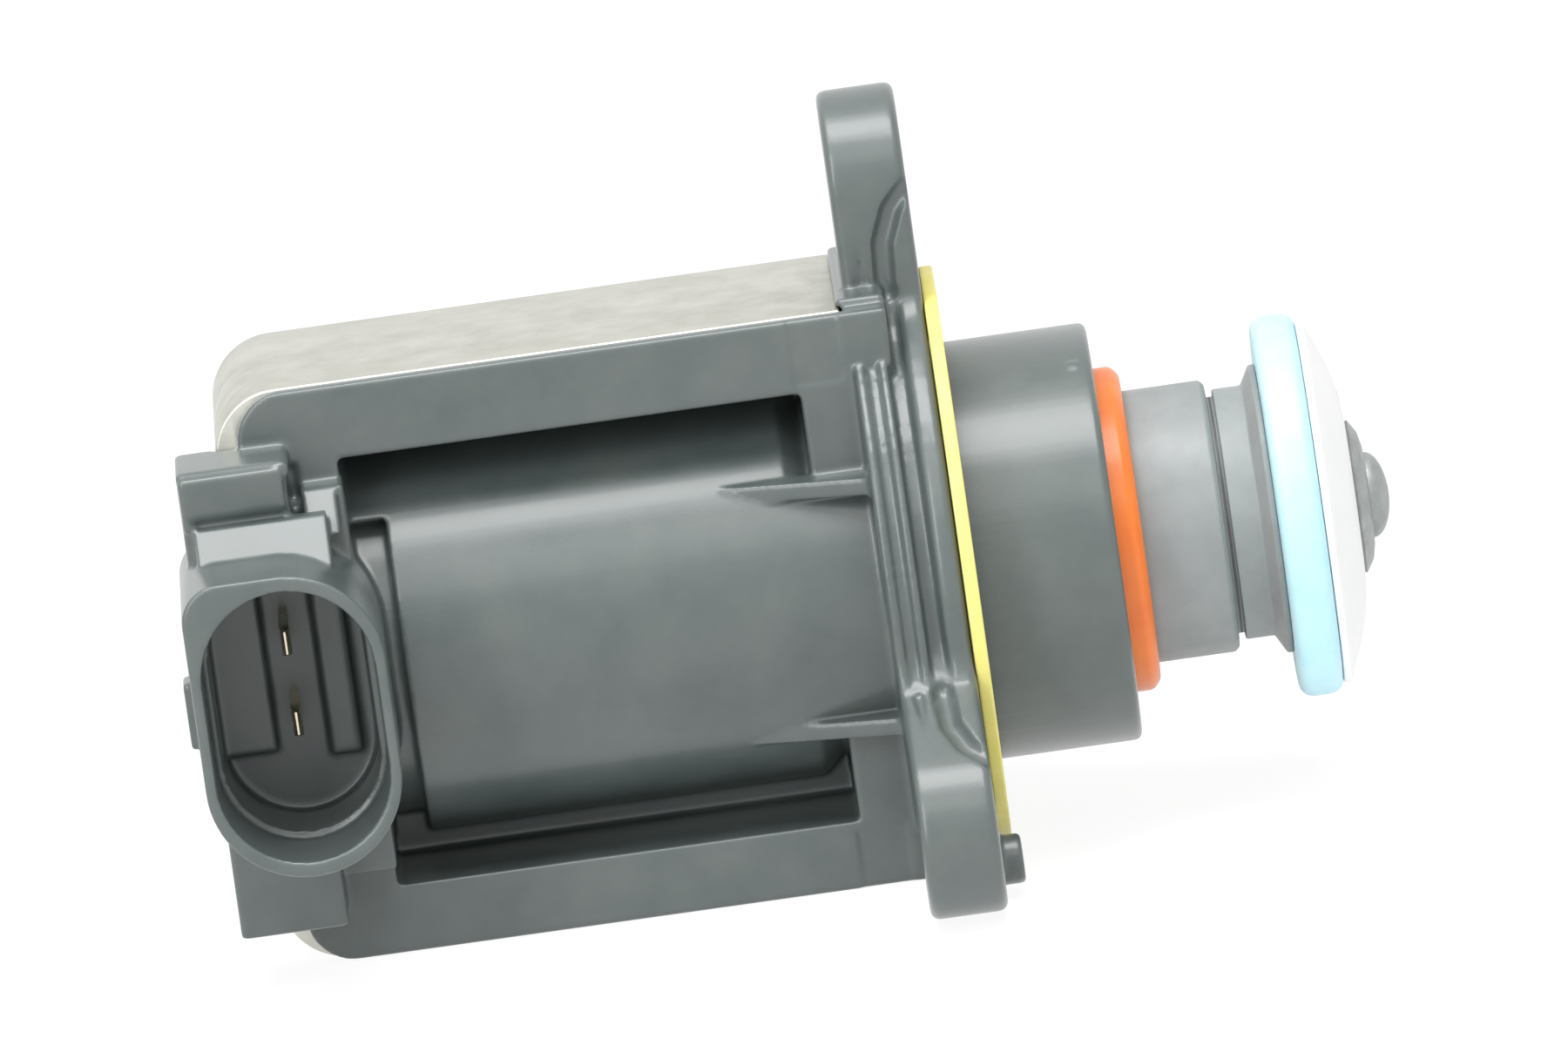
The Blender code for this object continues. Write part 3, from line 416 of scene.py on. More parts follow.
@dataclass(frozen=True)
class Finish:
    """One finish: its colours, its gloss, and the grain and lines of its surface.

    Attributes:
        name: The finish's name.
        slot: The name of the record's material slot; nothing in this script reads it.
        colour: Its main colour.
        shade: The second tone of its slow colour change.
        rough: The lowest and highest roughness.
        metallic: 1 for a metal.
        cloud: How many tone patches there are in a metre.
        grain: How many grains there are in a metre.
        grain_depth: How deep the grain is.
        lines: How often the surface changes along x, y and z, in a metre, where it has lines.
        line_depth: How deep the lines are.
        coat: How strong its clear gloss is.
        soak: How much light goes into the material.
        soak_reach: How far the light goes in.
        coat_rough: How rough its clear gloss is.
        patch: The lowest and highest value of the noise between which the tone changes.
        noise_rough: How strong the noise's fine detail is.
    """

    name: str
    slot: str
    colour: Colour
    shade: Colour
    rough: Flat = (0.35, 0.5)
    metallic: float = 0.0
    cloud: float = 90.0
    grain: float = 5000.0
    grain_depth: float = 0.00001
    lines: Spot | None = None
    line_depth: float = 0.00001
    coat: float = 0.0
    soak: float = 0.0
    soak_reach: float = 0.002
    coat_rough: float = 0.25
    patch: Flat = (0.3, 0.7)
    noise_rough: float = 0.6

    def material(self) -> Material:
        """Return the finish's material, made when it is first asked for."""
        found = bpy.data.materials.get(self.name)
        return found or self._build()

    def _build(self) -> Material:
        """Return a new node material for the finish."""
        made = bpy.data.materials.new(self.name)
        made.use_nodes = True
        tree = made.node_tree
        shader = tree.nodes["Principled BSDF"]
        for socket, value in (("Metallic", self.metallic), ("Coat Weight", self.coat),
                              ("Coat Roughness", self.coat_rough),
                              ("Subsurface Weight", self.soak),
                              ("Subsurface Scale", self.soak_reach)):
            shader.inputs[socket].default_value = value
        place = tree.nodes.new("ShaderNodeTexCoord").outputs["Object"]
        cloud = self._noise(tree, place, self.cloud, octaves=4.0)
        tree.links.new(self._tone(tree, cloud), shader.inputs["Base Color"])
        gloss = tree.nodes.new("ShaderNodeMapRange")
        for socket, value in zip(("From Min", "From Max", "To Min", "To Max"),
                                 (*self.patch, *self.rough)):
            gloss.inputs[socket].default_value = value
        tree.links.new(cloud, gloss.inputs["Value"])
        tree.links.new(gloss.outputs["Result"], shader.inputs["Roughness"])
        grain = self._noise(tree, place, self.grain, octaves=2.0)
        relief = self._bump(tree, grain, self.grain_depth, None)
        if self.lines:
            stretch = tree.nodes.new("ShaderNodeMapping")
            stretch.inputs["Scale"].default_value = self.lines
            tree.links.new(place, stretch.inputs["Vector"])
            streaks = self._noise(tree, stretch.outputs["Vector"], 1.0, octaves=3.0)
            relief = self._bump(tree, streaks, self.line_depth, relief)
        tree.links.new(relief, shader.inputs["Normal"])
        return made

    def _noise(self, tree: NodeTree, place: NodeSocket, scale: float, octaves: float) -> NodeSocket:
        """Return the value of a noise texture at a place."""
        noise = tree.nodes.new("ShaderNodeTexNoise")
        noise.inputs["Scale"].default_value = scale
        noise.inputs["Detail"].default_value = octaves
        noise.inputs["Roughness"].default_value = self.noise_rough
        tree.links.new(place, noise.inputs["Vector"])
        return noise.outputs["Fac"]

    def _tone(self, tree: NodeTree, share: NodeSocket) -> NodeSocket:
        """Return a tone between the finish's two colours, by a share near a half."""
        ramp = tree.nodes.new("ShaderNodeValToRGB")
        low, high = ramp.color_ramp.elements
        low.position, high.position = self.patch
        low.color, high.color = (*self.colour, 1.0), (*self.shade, 1.0)
        tree.links.new(share, ramp.inputs["Fac"])
        return ramp.outputs["Color"]

    @staticmethod
    def _bump(tree: NodeTree, height: NodeSocket, depth: float,
              under: NodeSocket | None) -> NodeSocket:
        """Return a normal with a relief of this depth, on top of the relief under it."""
        bump = tree.nodes.new("ShaderNodeBump")
        bump.inputs["Strength"].default_value = 1.0
        bump.inputs["Distance"].default_value = depth
        tree.links.new(height, bump.inputs["Height"])
        if under:
            tree.links.new(under, bump.inputs["Normal"])
        return bump.outputs["Normal"]


MOULDING = Finish("glass_filled_moulding", "moulding", (0.078, 0.100, 0.097), (0.106, 0.127, 0.122),
                  rough=(0.33, 0.43), cloud=160.0, grain=4200.0, grain_depth=0.000012, coat=0.7)
ZINC = Finish("zinc_plated_strap", "zinc_steel", (0.66, 0.66, 0.60), (0.50, 0.50, 0.45),
              rough=(0.34, 0.48), metallic=1.0, cloud=260.0, grain=6000.0, grain_depth=0.000004,
              lines=(60.0, 3200.0, 3200.0), line_depth=0.000006)
BUSH_STEEL = Finish("bush_zinc", "bush_steel", (0.62, 0.62, 0.60), (0.52, 0.52, 0.50),
                    rough=(0.28, 0.42), metallic=1.0, lines=(3500.0, 60.0, 60.0))
STEEL = Finish("machined_steel", "steel", (0.52, 0.52, 0.52), (0.44, 0.44, 0.44),
               rough=(0.25, 0.4), metallic=1.0, lines=(4000.0, 60.0, 60.0))
BRASS = Finish("drawn_brass", "brass", (0.76, 0.60, 0.30), (0.66, 0.50, 0.24),
               rough=(0.25, 0.4), metallic=1.0, lines=(60.0, 3000.0, 3000.0))
COPPER = Finish("enamelled_copper", "copper", (0.72, 0.34, 0.16), (0.55, 0.24, 0.10),
                rough=(0.25, 0.35), metallic=1.0, lines=(2500.0, 20.0, 20.0), line_depth=0.00006)
SPOOL = Finish("spool_moulding", "spool", (0.72, 0.68, 0.56), (0.66, 0.62, 0.50), rough=(0.4, 0.5))
BLACK_RUBBER = Finish("black_ring_rubber", "black_rubber", (0.02, 0.02, 0.02), (0.03, 0.03, 0.03),
                      rough=(0.5, 0.65))
TIN = Finish("tinned_blade", "tin", (0.92, 0.84, 0.66), (0.80, 0.70, 0.52), rough=(0.18, 0.3),
             metallic=1.0, cloud=500.0)
YELLOW = Finish("yellow_gasket_rubber", "yellow_rubber", (0.92, 0.84, 0.26), (0.86, 0.77, 0.20),
                rough=(0.42, 0.55), cloud=300.0, soak=0.1)
ORANGE = Finish("orange_seal_rubber", "orange_rubber", (0.98, 0.25, 0.035), (0.92, 0.19, 0.025),
                rough=(0.3, 0.42), cloud=200.0, coat=0.15, soak=0.15)
SPRING_STEEL = Finish("spring_wire", "spring_steel", (0.55, 0.55, 0.55), (0.45, 0.45, 0.45),
                      rough=(0.25, 0.4), metallic=1.0)
PISTON_PLASTIC = Finish("grey_piston_moulding", "piston_plastic", (0.31, 0.33, 0.33),
                        (0.25, 0.27, 0.27), rough=(0.4, 0.55), cloud=160.0,
                        lines=(2600.0, 25.0, 25.0), line_depth=0.00002)
BLUE = Finish("blue_disc_rubber", "blue_rubber", (0.58, 0.87, 0.96), (0.50, 0.82, 0.93),
              rough=(0.4, 0.5), cloud=200.0, soak=0.2)
WHITE_PLASTIC = Finish("white_cap_moulding", "white_plastic", (0.92, 0.92, 0.92), (0.88, 0.89, 0.89),
               rough=(0.35, 0.45), cloud=120.0)
RIVET = Finish("blasted_rivet", "rivet_steel", (0.42, 0.44, 0.43), (0.32, 0.34, 0.33),
               rough=(0.42, 0.55), metallic=0.8, cloud=500.0, grain=3500.0, grain_depth=0.00003)


def fit(piece: Object, finish: Finish, body: Body, *nodes: str) -> Object:
    """Dress a finished piece and hang it on its body.

    Args:
        piece: The piece, in place.
        finish: What it is made of.
        body: The body that it moves with.
        *nodes: The solids that it stands for.

    Returns:
        The same piece.
    """
    piece.data.materials.clear()
    piece.data.materials.append(finish.material())
    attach(piece, body.value)
    if nodes:
        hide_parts(*nodes)
    log.info("%s: %d faces, stands for %s", piece.name, len(piece.data.polygons), nodes or "trim")
    return piece


# The moulded housing


@dataclass
class Housing:
    """The black moulding: flange, nose collar, coil body, plug socket and locating peg."""

    # Flange and rim, each rib and the recess by where it begins and ends
    rim_radius: float = 0.024
    rib_back: Flat = (-0.00645, -0.0056)
    rib_middle: Flat = (-0.00445, -0.0037)
    rib_front: Flat = (-0.0022, -0.00005)
    rib_edges: tuple[float, ...] = (0.0003, 0.00025, 0.0007)
    rib_inset: float = 0.0004
    groove_depth: float = 0.0014
    recess_depth: float = 0.0006
    recess_edge: float = 0.0001
    ear_fillet: float = 0.0048
    flange_edge: float = 0.0007
    hole_clearance: float = 0.0001

    # Run-outs: a step forward, the way out along the ear, and how far it stands off the flank
    recess_radius: float = 0.0006
    recess_route: tuple[Spot, ...] = ((0.0, 0.0245, 0.0002), (0.0004, 0.0303, 0.0))
    runout_radius: float = 0.00095
    runout_rounding: float = 0.95
    groove_route: tuple[Spot, ...] = ((0.0, 0.0245, 0.0001), (0.0002, 0.0286, 0.0001),
                                      (0.0013, 0.0314, 0.0001))
    groove_exit: Spot = (0.0006, 0.0339, 0.0003)

    # Locating peg
    peg_spot: Flat = (-0.0225, -0.0214)
    peg_radius: float = 0.0021
    peg_height: float = 0.0018
    peg_edge: float = 0.0003
    peg_lug_wall: float = 0.0009
    peg_lug_inset: float = 0.0004

    # Nose collar, with its mouth's rounding as steps back from the end and in from the side
    collar_radius: float = 0.0176
    collar_lip: float = 0.001
    collar_root_share: float = 0.3
    collar_mouth: tuple[Flat, ...] = ((0.0005, 0.0), (0.0001, 0.0002), (0.0, 0.0006))
    mark_angle: float = radians(66)
    mark_back: float = 0.0016
    mark_radius: float = 0.00045
    mark_height: float = 0.00018

    # Coil body, round cover and windows
    body_half_width: float = 0.0131
    body_back: float = -0.058
    body_corner: float = 0.004
    back_rail_drop: float = 0.0007
    rail_step_x: float = -0.0117
    rail_step: float = 0.00015
    rail_step_outer: float = -0.02
    rail_step_inset: float = 0.0006
    rail_step_gap: float = 0.0008
    cover_radius: float = 0.0168
    cover_root_share: float = 0.4
    cover_recess: float = 0.0018
    recess_right: float = -0.0468
    recess_top: float = 0.0122
    window_start: float = -0.050
    window_end: float = -0.0112
    window_top: float = 0.0181
    window_bottom: float = -0.0186
    web_half: float = 0.0015
    slope_length: float = 0.0022
    slope_depth: float = 0.0016
    slope_foot: float = 0.0004
    slope_room: float = 0.005

    # Ledge over the strap's end, and the thin ribs
    ledge_back: float = -0.0073
    ledge_half_width: float = 0.0108
    ledge_foot: float = 0.0208
    ledge_top: float = 0.0251
    ledge_edge: float = 0.0003
    gusset_z: float = 0.0103
    gusset_half: float = 0.00075
    gusset_tip: float = -0.0212
    gusset_reach: float = 0.017

    # The socket's tower and neck
    tower_left: float = -0.0634
    tower_right: float = -0.0544
    tower_half_height: float = 0.020
    tower_face: float = -0.0192
    tower_edge: float = 0.0003
    bar_height: float = 0.0007
    bar_bottom: float = 0.0160
    bar_top: float = 0.0196
    bar_inset: float = 0.0002
    bar_edge: float = 0.00035
    bar_foot_share: float = 0.8
    bar_foot_size: Flat = (0.0011, 0.0010)
    bar_foot_edge: float = 0.0002
    curl_radius: float = 0.0008
    curl_inset: float = 0.0004
    neck_half_height: float = 0.0165
    neck_right: float = -0.0498
    neck_face: float = -0.0158
    neck_rib: Flat = (-0.0533, -0.0504)
    neck_rib_reach: float = 0.0034
    neck_rib_drop: float = 0.0001
    pocket_low: Spot = (-0.0544, -0.0180, 0.0152)
    pocket_high: Spot = (-0.0534, -0.0128, 0.0182)

    # The plug socket
    socket_x: float = -0.05625
    socket_mouth: float = -0.0307
    socket_floor: float = -0.0142
    socket_step_y: float = -0.022
    socket_step: float = 0.0007
    socket_half_width: float = 0.0072
    socket_half_height: float = 0.0115
    socket_side_wall: float = 0.00095
    socket_end_wall: float = 0.0013
    socket_corner: float = 0.0032
    ramp_foot_drop: float = 0.0012
    ramp_rise: float = 0.0024
    ramp_reach: Flat = (0.0063, 0.0048)
    latch_length: float = 0.0032
    latch_half_height: float = 0.00285
    latch_proud: float = 0.0008
    latch_depth: float = 0.0125
    left_key_corner: Flat = (-0.0160, -0.0052)
    left_key_right: float = 0.0020
    right_key_corner: Flat = (-0.0156, -0.0062)
    right_key_span: Flat = (0.0024, 0.0050)
    key_edge: float = 0.0002

    # The hollow inside
    slot_gap: float = 0.0002
    inner_gap: float = 0.0003
    nose_bore: float = 0.01372
    chamber_radius: float = 0.0130
    stroke_room: float = 0.007

    # The rounding of all small edges
    voxel: float = 0.00022
    quick_voxel: float = 0.0005
    rounding_passes: int = 7
    rounding_strength: float = 0.5
    most_triangles: int = 190000

    def __post_init__(self) -> None:
        """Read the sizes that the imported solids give."""
        self.flange_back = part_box("flange_bush_1")[0].x
        self.bolt_circle = sum(corner.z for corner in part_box("flange_bush_1")) / 2
        self.bush_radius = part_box("flange_bush_1")[1].z - self.bolt_circle
        self.ear_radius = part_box("housing")[1].z - self.bolt_circle
        self.collar_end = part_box("housing")[1].x
        self.strap_low, self.strap_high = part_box("yoke_bracket")
        self.body_half_height = self.strap_high.z

    def build(self) -> Object:
        """Return the whole moulding with its small edges rounded."""
        body = self._body()
        unite(body, [self._flange(), self._collar(), *self._peg(), *self._gussets(),
                     *self._socket(), self._ledge()])
        cut(body, self._hollows())
        self._round_small_edges(body)
        body.name = "moulded_housing"
        return fit(body, MOULDING, Body.VALVE, "housing")

    def _eared(self, disc: float, ear: float) -> list[Flat]:
        """Return the outline of a disc with three ears and filleted roots."""
        root, side = disc + self.ear_fillet, ear + self.ear_fillet
        along = sqrt(root ** 2 - side ** 2)
        lean = asin(side / root)
        outline = []
        for turn in EAR_TURNS:
            local = arc((along, -side), self.ear_fillet, pi - lean, pi / 2)
            local += arc((self.bolt_circle, 0), ear, -pi / 2, pi / 2)
            local += arc((along, side), self.ear_fillet, -pi / 2, lean - pi)
            local += arc((0, 0), disc, lean, 2 * pi / 3 - lean)[1:-1]
            outline += [(a * cos(turn) - b * sin(turn), a * sin(turn) + b * cos(turn))
                        for a, b in local]
        return outline

    def ear_centres(self) -> list[Flat]:
        """Return the y and z of the three bolt holes, the upper one first."""
        return [(self.bolt_circle * cos(turn), self.bolt_circle * sin(turn))
                for turn in EAR_TURNS]

    def _flange(self) -> Object:
        """Return the eared flange with three rim ribs, a recess, a groove and their run-outs."""
        floor = self.rim_radius - self.groove_depth
        flange = prism("flange", self._eared(floor, self.ear_radius), Plane.YZ,
                       self.flange_back, 0.0, self.flange_edge)
        back_edge, middle_edge, front_edge = self.rib_edges
        recess = (self.rib_back[0] + HAIR, self.rib_middle[1] - HAIR)
        ribs = []
        for name, depth, (back, front), edge in (
            ("rib_back", 0.0, self.rib_back, back_edge),
            ("rib_recess", self.recess_depth, recess, self.recess_edge),
            ("rib_middle", 0.0, self.rib_middle, middle_edge),
            ("rib_front", 0.0, self.rib_front, front_edge),
        ):
            ear = self.ear_radius - self.rib_inset - len(ribs) * HAIR
            ribs.append(prism(name, self._eared(self.rim_radius - depth, ear), Plane.YZ, back,
                              front, edge))
        cuts = []
        for number, turn in enumerate(EAR_TURNS):
            for side in (-1, 1):
                cuts += self._runout(f"{number}_{side}", turn, side)
        return cut(unite(flange, ribs), cuts)

    def _runout(self, name: str, turn: float, side: int) -> list[Object]:
        """Return the cutters for the ends of recess and groove on one side of an ear.

        Args:
            name: The last part of the cutters' names.
            turn: The ear's angle round the axis.
            side: -1 or 1.

        Returns:
            A cone for the recess, which runs out to a point, and rods for the groove, which
            turns forward round the front rib's end.
        """

        def place(x: float, along: float, proud: float) -> Spot:
            """Return a place by the ear's flank."""
            past = max(0.0, along - self.bolt_circle)
            across = (sqrt(self.ear_radius ** 2 - past ** 2) + proud) * side
            return (x, along * cos(turn) - across * sin(turn),
                    along * sin(turn) + across * cos(turn))

        recess = (self.rib_back[1] + self.rib_middle[0]) / 2
        groove = (self.rib_middle[1] + self.rib_front[0]) / 2
        foot, tip = [place(recess + step, *rest) for step, *rest in self.recess_route]
        cuts = [spike(f"recess_{name}", foot, tip, self.recess_radius)]
        route = [place(groove + step, *rest) for step, *rest in self.groove_route]
        route.append(place(*self.groove_exit))
        for number, (start, end) in enumerate(zip(route, route[1:])):
            along = (Vector(end) - Vector(start)).normalized() * self.runout_radius
            cuts.append(rod(f"groove_{name}_{number}", Vector(start) - along, Vector(end) + along,
                            self.runout_radius, self.runout_radius * self.runout_rounding,
                            FINE_STEPS))
        return cuts

    def _collar(self) -> Object:
        """Return the nose collar, with its rounded mouth and a small moulded mark on top."""
        root = self.flange_back * self.collar_root_share
        radius, end = self.collar_radius, self.collar_end
        mouth = [(end - back, radius - drop) for back, drop in self.collar_mouth]
        collar = turned("collar", [(root, 0), (root, radius), *mouth, (end, 0)])
        turn = self.mark_angle
        out = Vector((0, -cos(turn), sin(turn)))
        spot = Vector((end - self.mark_back, -radius * cos(turn), radius * sin(turn)))
        mark = rod("mark", spot - out * OVERSHOOT, spot + out * self.mark_height,
                   self.mark_radius, steps=FINE_STEPS)
        return unite(collar, [mark])

    def _peg(self) -> list[Object]:
        """Return the locating peg and the lug that carries it beside the front lower ear."""
        y, z = self.peg_spot
        inset = self.peg_lug_inset
        lug = rod("peg_lug", (self.flange_back + inset, y, z), (-inset, y, z),
                  self.peg_radius + self.peg_lug_wall, inset)
        peg = rod("peg", (self.flange_back / 2, y, z), (self.peg_height, y, z), self.peg_radius,
                  self.peg_edge)
        return [lug, peg]

    def _body(self) -> Object:
        """Return the coil body with its side windows and the round cover that bulges from it."""
        corner = (self.body_back + self.body_corner, self.body_half_height - self.body_corner)
        upper = [(self.flange_back / 2, self.body_half_height)]
        upper += arc(corner, self.body_corner, pi / 2, pi)
        side = self.body_half_width
        body = prism("body", upper + mirrored(upper), Plane.XZ, -side, side)
        cut(body, [
            block("front_window", (self.window_start, -side - OVERSHOOT, self.window_bottom),
                  (self.window_end, -self.web_half, self.window_top)),
            block("back_window", (self.window_start, self.web_half, self.window_bottom),
                  (self.window_end, side + OVERSHOOT, self.window_top)),
            block("back_rail_top", (self.body_back - OVERSHOOT, self.strap_high.y,
                                    self.body_half_height - self.back_rail_drop),
                  (self.flange_back, side + OVERSHOOT, self.body_half_height + OVERSHOOT)),
        ])
        cover = turned("cover", hoop(self.body_back + OVERSHOOT,
                                     self.flange_back * self.cover_root_share, 0,
                                     self.cover_radius))
        return unite(body, [cut(cover, [self._cover_end_groove(), self._cover_recess()])])

    def _cover_recess(self) -> Object:
        """Return the cutter for the recess in the cover beside the socket's neck."""
        reach = self.cover_radius + OVERSHOOT
        far, left, right = reach + OVERSHOOT, self.neck_right, self.recess_right
        ring = turned("cover_recess", hoop(left, right, self.cover_radius - self.cover_recess,
                                           reach))
        back = block("recess_back", (left - OVERSHOOT, 0, -far), (right + OVERSHOOT, far, far))
        above = block("recess_above", (left - OVERSHOOT, -far, self.recess_top),
                      (right + OVERSHOOT, OVERSHOOT, far))
        return cut(ring, [back, above])

    def _cover_end_groove(self) -> Object:
        """Return the ring that cuts the slope into the cover's end inside the windows."""
        wall, reach = self.window_end - HAIR, self.cover_radius + OVERSHOOT
        top, floor = wall - self.slope_length, self.cover_radius - self.slope_depth
        groove = turned("cover_end_groove", [
            (top, reach), (top, self.cover_radius), (wall - self.slope_foot, floor),
            (wall, floor), (wall, reach)])
        far = reach + OVERSHOOT
        middle = block("between_ribs", (wall - self.slope_room, -far, -self.gusset_z),
                       (wall + OVERSHOOT, far, self.gusset_z))
        return cut(groove, [middle])

    def _ledge(self) -> Object:
        """Return the ledge over the strap's end."""
        return block("ledge", (self.ledge_back, -self.ledge_half_width, self.ledge_foot),
                     (self.flange_back / 2, self.ledge_half_width, self.ledge_top),
                     self.ledge_edge)

    def _gussets(self) -> list[Object]:
        """Return the four thin ribs between the cover and the flange."""
        foot = sqrt(self.cover_radius ** 2 - (self.gusset_z + self.gusset_half) ** 2) - OVERSHOOT
        end = self.flange_back + OVERSHOOT
        outline = [(self.gusset_tip, foot + OVERSHOOT / 2), (end, self.gusset_reach), (end, foot),
                   (self.gusset_tip, foot)]
        ribs = []
        for level, z in (("upper", self.gusset_z), ("lower", -self.gusset_z)):
            for place, points in (("back", outline), ("front", mirrored(outline))):
                ribs.append(prism(f"{level}_{place}_rib", points, Plane.XY, z - self.gusset_half,
                                  z + self.gusset_half))
        return ribs

    def _stadium(self, half_width: float, half_height: float, corner: float) -> list[Flat]:
        """Return the socket's outline: round ends, with one squarer corner where asked."""
        x, straight = self.socket_x, half_height - half_width
        outline = arc((x, -straight), half_width, -pi, 0)
        outline += arc((x, straight), half_width, 0, pi / 2)
        if corner:
            outline += arc((x - half_width + corner, half_height - corner), corner, pi / 2, pi)
        else:
            outline += arc((x, straight), half_width, pi / 2, pi)[1:]
        return outline

    def _socket(self) -> list[Object]:
        """Return the plug socket's tower, neck, shroud and latch nose."""
        root = self.strap_low.y + 2 * self.slot_gap
        outer_width = self.socket_half_width + self.socket_side_wall
        outer_height = self.socket_half_height + self.socket_end_wall
        latch_end = self.socket_mouth + self.latch_depth
        latch_left = self.socket_x - outer_width - self.latch_proud
        latch_root = self.socket_x - self.socket_half_width - self.socket_side_wall / 2
        return [
            *self._tower(root),
            block("neck", (self.socket_x, self.neck_face, -self.neck_half_height),
                  (self.neck_right, root + HAIR, self.neck_half_height)),
            self._neck_rib(),
            prism("shroud", self._stadium(outer_width, outer_height, self.socket_corner), Plane.XZ,
                  self.socket_mouth, root - HAIR),
            self._ramp(outer_height),
            block("latch_nose", (latch_left, latch_end - self.latch_length, -self.latch_half_height),
                  (latch_root, latch_end, self.latch_half_height)),
        ]

    def _tower(self, root: float) -> list[Object]:
        """Return the socket's tower, and the bar on its face with its foot and its curl."""
        left, right, face = self.tower_left, self.tower_right, self.tower_face
        sunk = face + OVERSHOOT
        foot_width, foot_drop = self.bar_foot_size
        curl_x, curl_z = right - self.curl_inset, self.bar_top - self.curl_inset
        return [
            block("tower", (left, face, -self.tower_half_height),
                  (right, root, self.tower_half_height), self.tower_edge),
            block("tower_bar", (left + HAIR, face - self.bar_height, self.bar_bottom),
                  (right - self.bar_inset, sunk, self.bar_top), self.bar_edge),
            block("bar_foot", (left + HAIR, face - self.bar_height * self.bar_foot_share,
                               self.bar_bottom - foot_drop),
                  (left + foot_width, sunk, self.bar_bottom + OVERSHOOT), self.bar_foot_edge),
            rod("bar_curl", (curl_x, face - self.bar_inset, curl_z),
                (curl_x, -self.body_half_width, curl_z), self.curl_radius),
        ]

    def _neck_rib(self) -> Object:
        """Return the sloped rib on the neck's upper end."""
        face, top = self.neck_face, self.neck_half_height
        sunk, low = face + OVERSHOOT, top - self.neck_rib_reach
        outline = [(sunk, top - HAIR), (face - HAIR, top - self.neck_rib_drop),
                   (face - self.neck_rib_reach, low), (sunk, low)]
        return prism("neck_rib", outline, Plane.YZ, *self.neck_rib)

    def _ramp(self, outer_height: float) -> Object:
        """Return the slope between the tower's face and the top of the shroud."""
        face = self.tower_face
        sunk, front = face + OVERSHOOT, face - self.bar_height
        foot, top = outer_height - self.ramp_foot_drop, outer_height + self.ramp_rise
        left, right = self.ramp_reach
        outline = [(sunk, foot), (sunk, top), (front, top), (front - (top - foot), foot)]
        return prism("shroud_ramp", outline, Plane.YZ, self.socket_x - left, self.socket_x + right)

    def _hollows(self) -> list[Object]:
        """Return the cutters for strap, plug, bushes, neck pocket, rail steps and nose."""
        low, high, gap = self.strap_low, self.strap_high, self.slot_gap
        width, height = self.socket_half_width, self.socket_half_height
        inside = self._stadium(width - self.socket_step, height - self.socket_step, 0)
        cutters = [
            prism("strap_slot", strap_outline(gap, high.x + gap), Plane.XZ, low.y - gap,
                  high.y + gap),
            prism("socket_mouth", self._stadium(width, height, 0), Plane.XZ,
                  self.socket_mouth - OVERSHOOT, self.socket_step_y),
            cut(prism("socket_inside", inside, Plane.XZ, self.socket_step_y - OVERSHOOT,
                      self.socket_floor), self._keys()),
        ]
        for number, (y, z) in enumerate(self.ear_centres(), start=1):
            cutters.append(rod(f"bush_hole_{number}", (self.flange_back - OVERSHOOT, y, z),
                               (OVERSHOOT, y, z), self.bush_radius + self.hole_clearance))
        cutters.append(block("neck_pocket", self.pocket_low, self.pocket_high))
        step_face = -self.body_half_width + self.rail_step
        for level, bottom, top in (
            ("upper", self.window_top + self.rail_step_inset, high.z + OVERSHOOT),
            ("lower", low.z - OVERSHOOT, self.window_bottom - self.rail_step_inset),
        ):
            cutters.append(block(f"{level}_rail_step",
                                 (self.rail_step_x, self.rail_step_outer, bottom),
                                 (self.flange_back - self.rail_step_gap, step_face, top)))
        return cutters + [turned("nose_bore", self._bore())]

    def _keys(self) -> list[Object]:
        """Return the keyed blocks on the socket's floor, left and right of the blades."""
        x, deep = self.socket_x, self.socket_floor + OVERSHOOT
        top = self.socket_half_height + OVERSHOOT
        return [block(name, (left, *corner), (right, deep, top), self.key_edge)
                for name, left, right, corner in (
                    ("left_key", x - self.socket_half_width, x - self.left_key_right,
                     self.left_key_corner),
                    ("right_key", x + self.right_key_span[0], x + self.right_key_span[1],
                     self.right_key_corner))]

    def _bore(self) -> list[Flat]:
        """Return the section of the hollow that holds the seal, the piston and the coil."""
        gap, wide, end = self.inner_gap, self.chamber_radius, self.strap_low.x
        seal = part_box("lip_seal")[1].z + HAIR
        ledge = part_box("seal_retainer")[0].x - gap
        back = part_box("piston")[0].x - self.stroke_room
        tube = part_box("guide_tube")[1].z + gap
        low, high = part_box("coil_bobbin")
        mouth, lip = self.collar_end + OVERSHOOT, self.collar_end - self.collar_lip
        return [
            (mouth, 0), (mouth, self.nose_bore), (lip, self.nose_bore), (lip, seal), (ledge, seal),
            (ledge, wide), (back, wide), (back, tube), (high.x + gap, tube),
            (high.x + gap, high.z + gap), (low.x - gap, high.z + gap), (low.x - gap, tube),
            (end, tube), (end, 0),
        ]

    def _round_small_edges(self, piece: Object) -> None:
        """Round every edge and inner corner of the moulding as its tool would."""
        fine = self.voxel
        add_modifier(piece, "REMESH", mode="VOXEL", voxel_size=fine)
        add_modifier(piece, "SMOOTH", factor=self.rounding_strength,
                     iterations=self.rounding_passes)
        triangles = 2 * len(piece.data.polygons)
        log.info("housing has %d triangles before it is thinned", triangles)
        if triangles > self.most_triangles:
            add_modifier(piece, "DECIMATE", ratio=self.most_triangles / triangles)
        only(piece)
        bpy.ops.object.shade_smooth()


# Strap, bushes, blades, gasket and seal


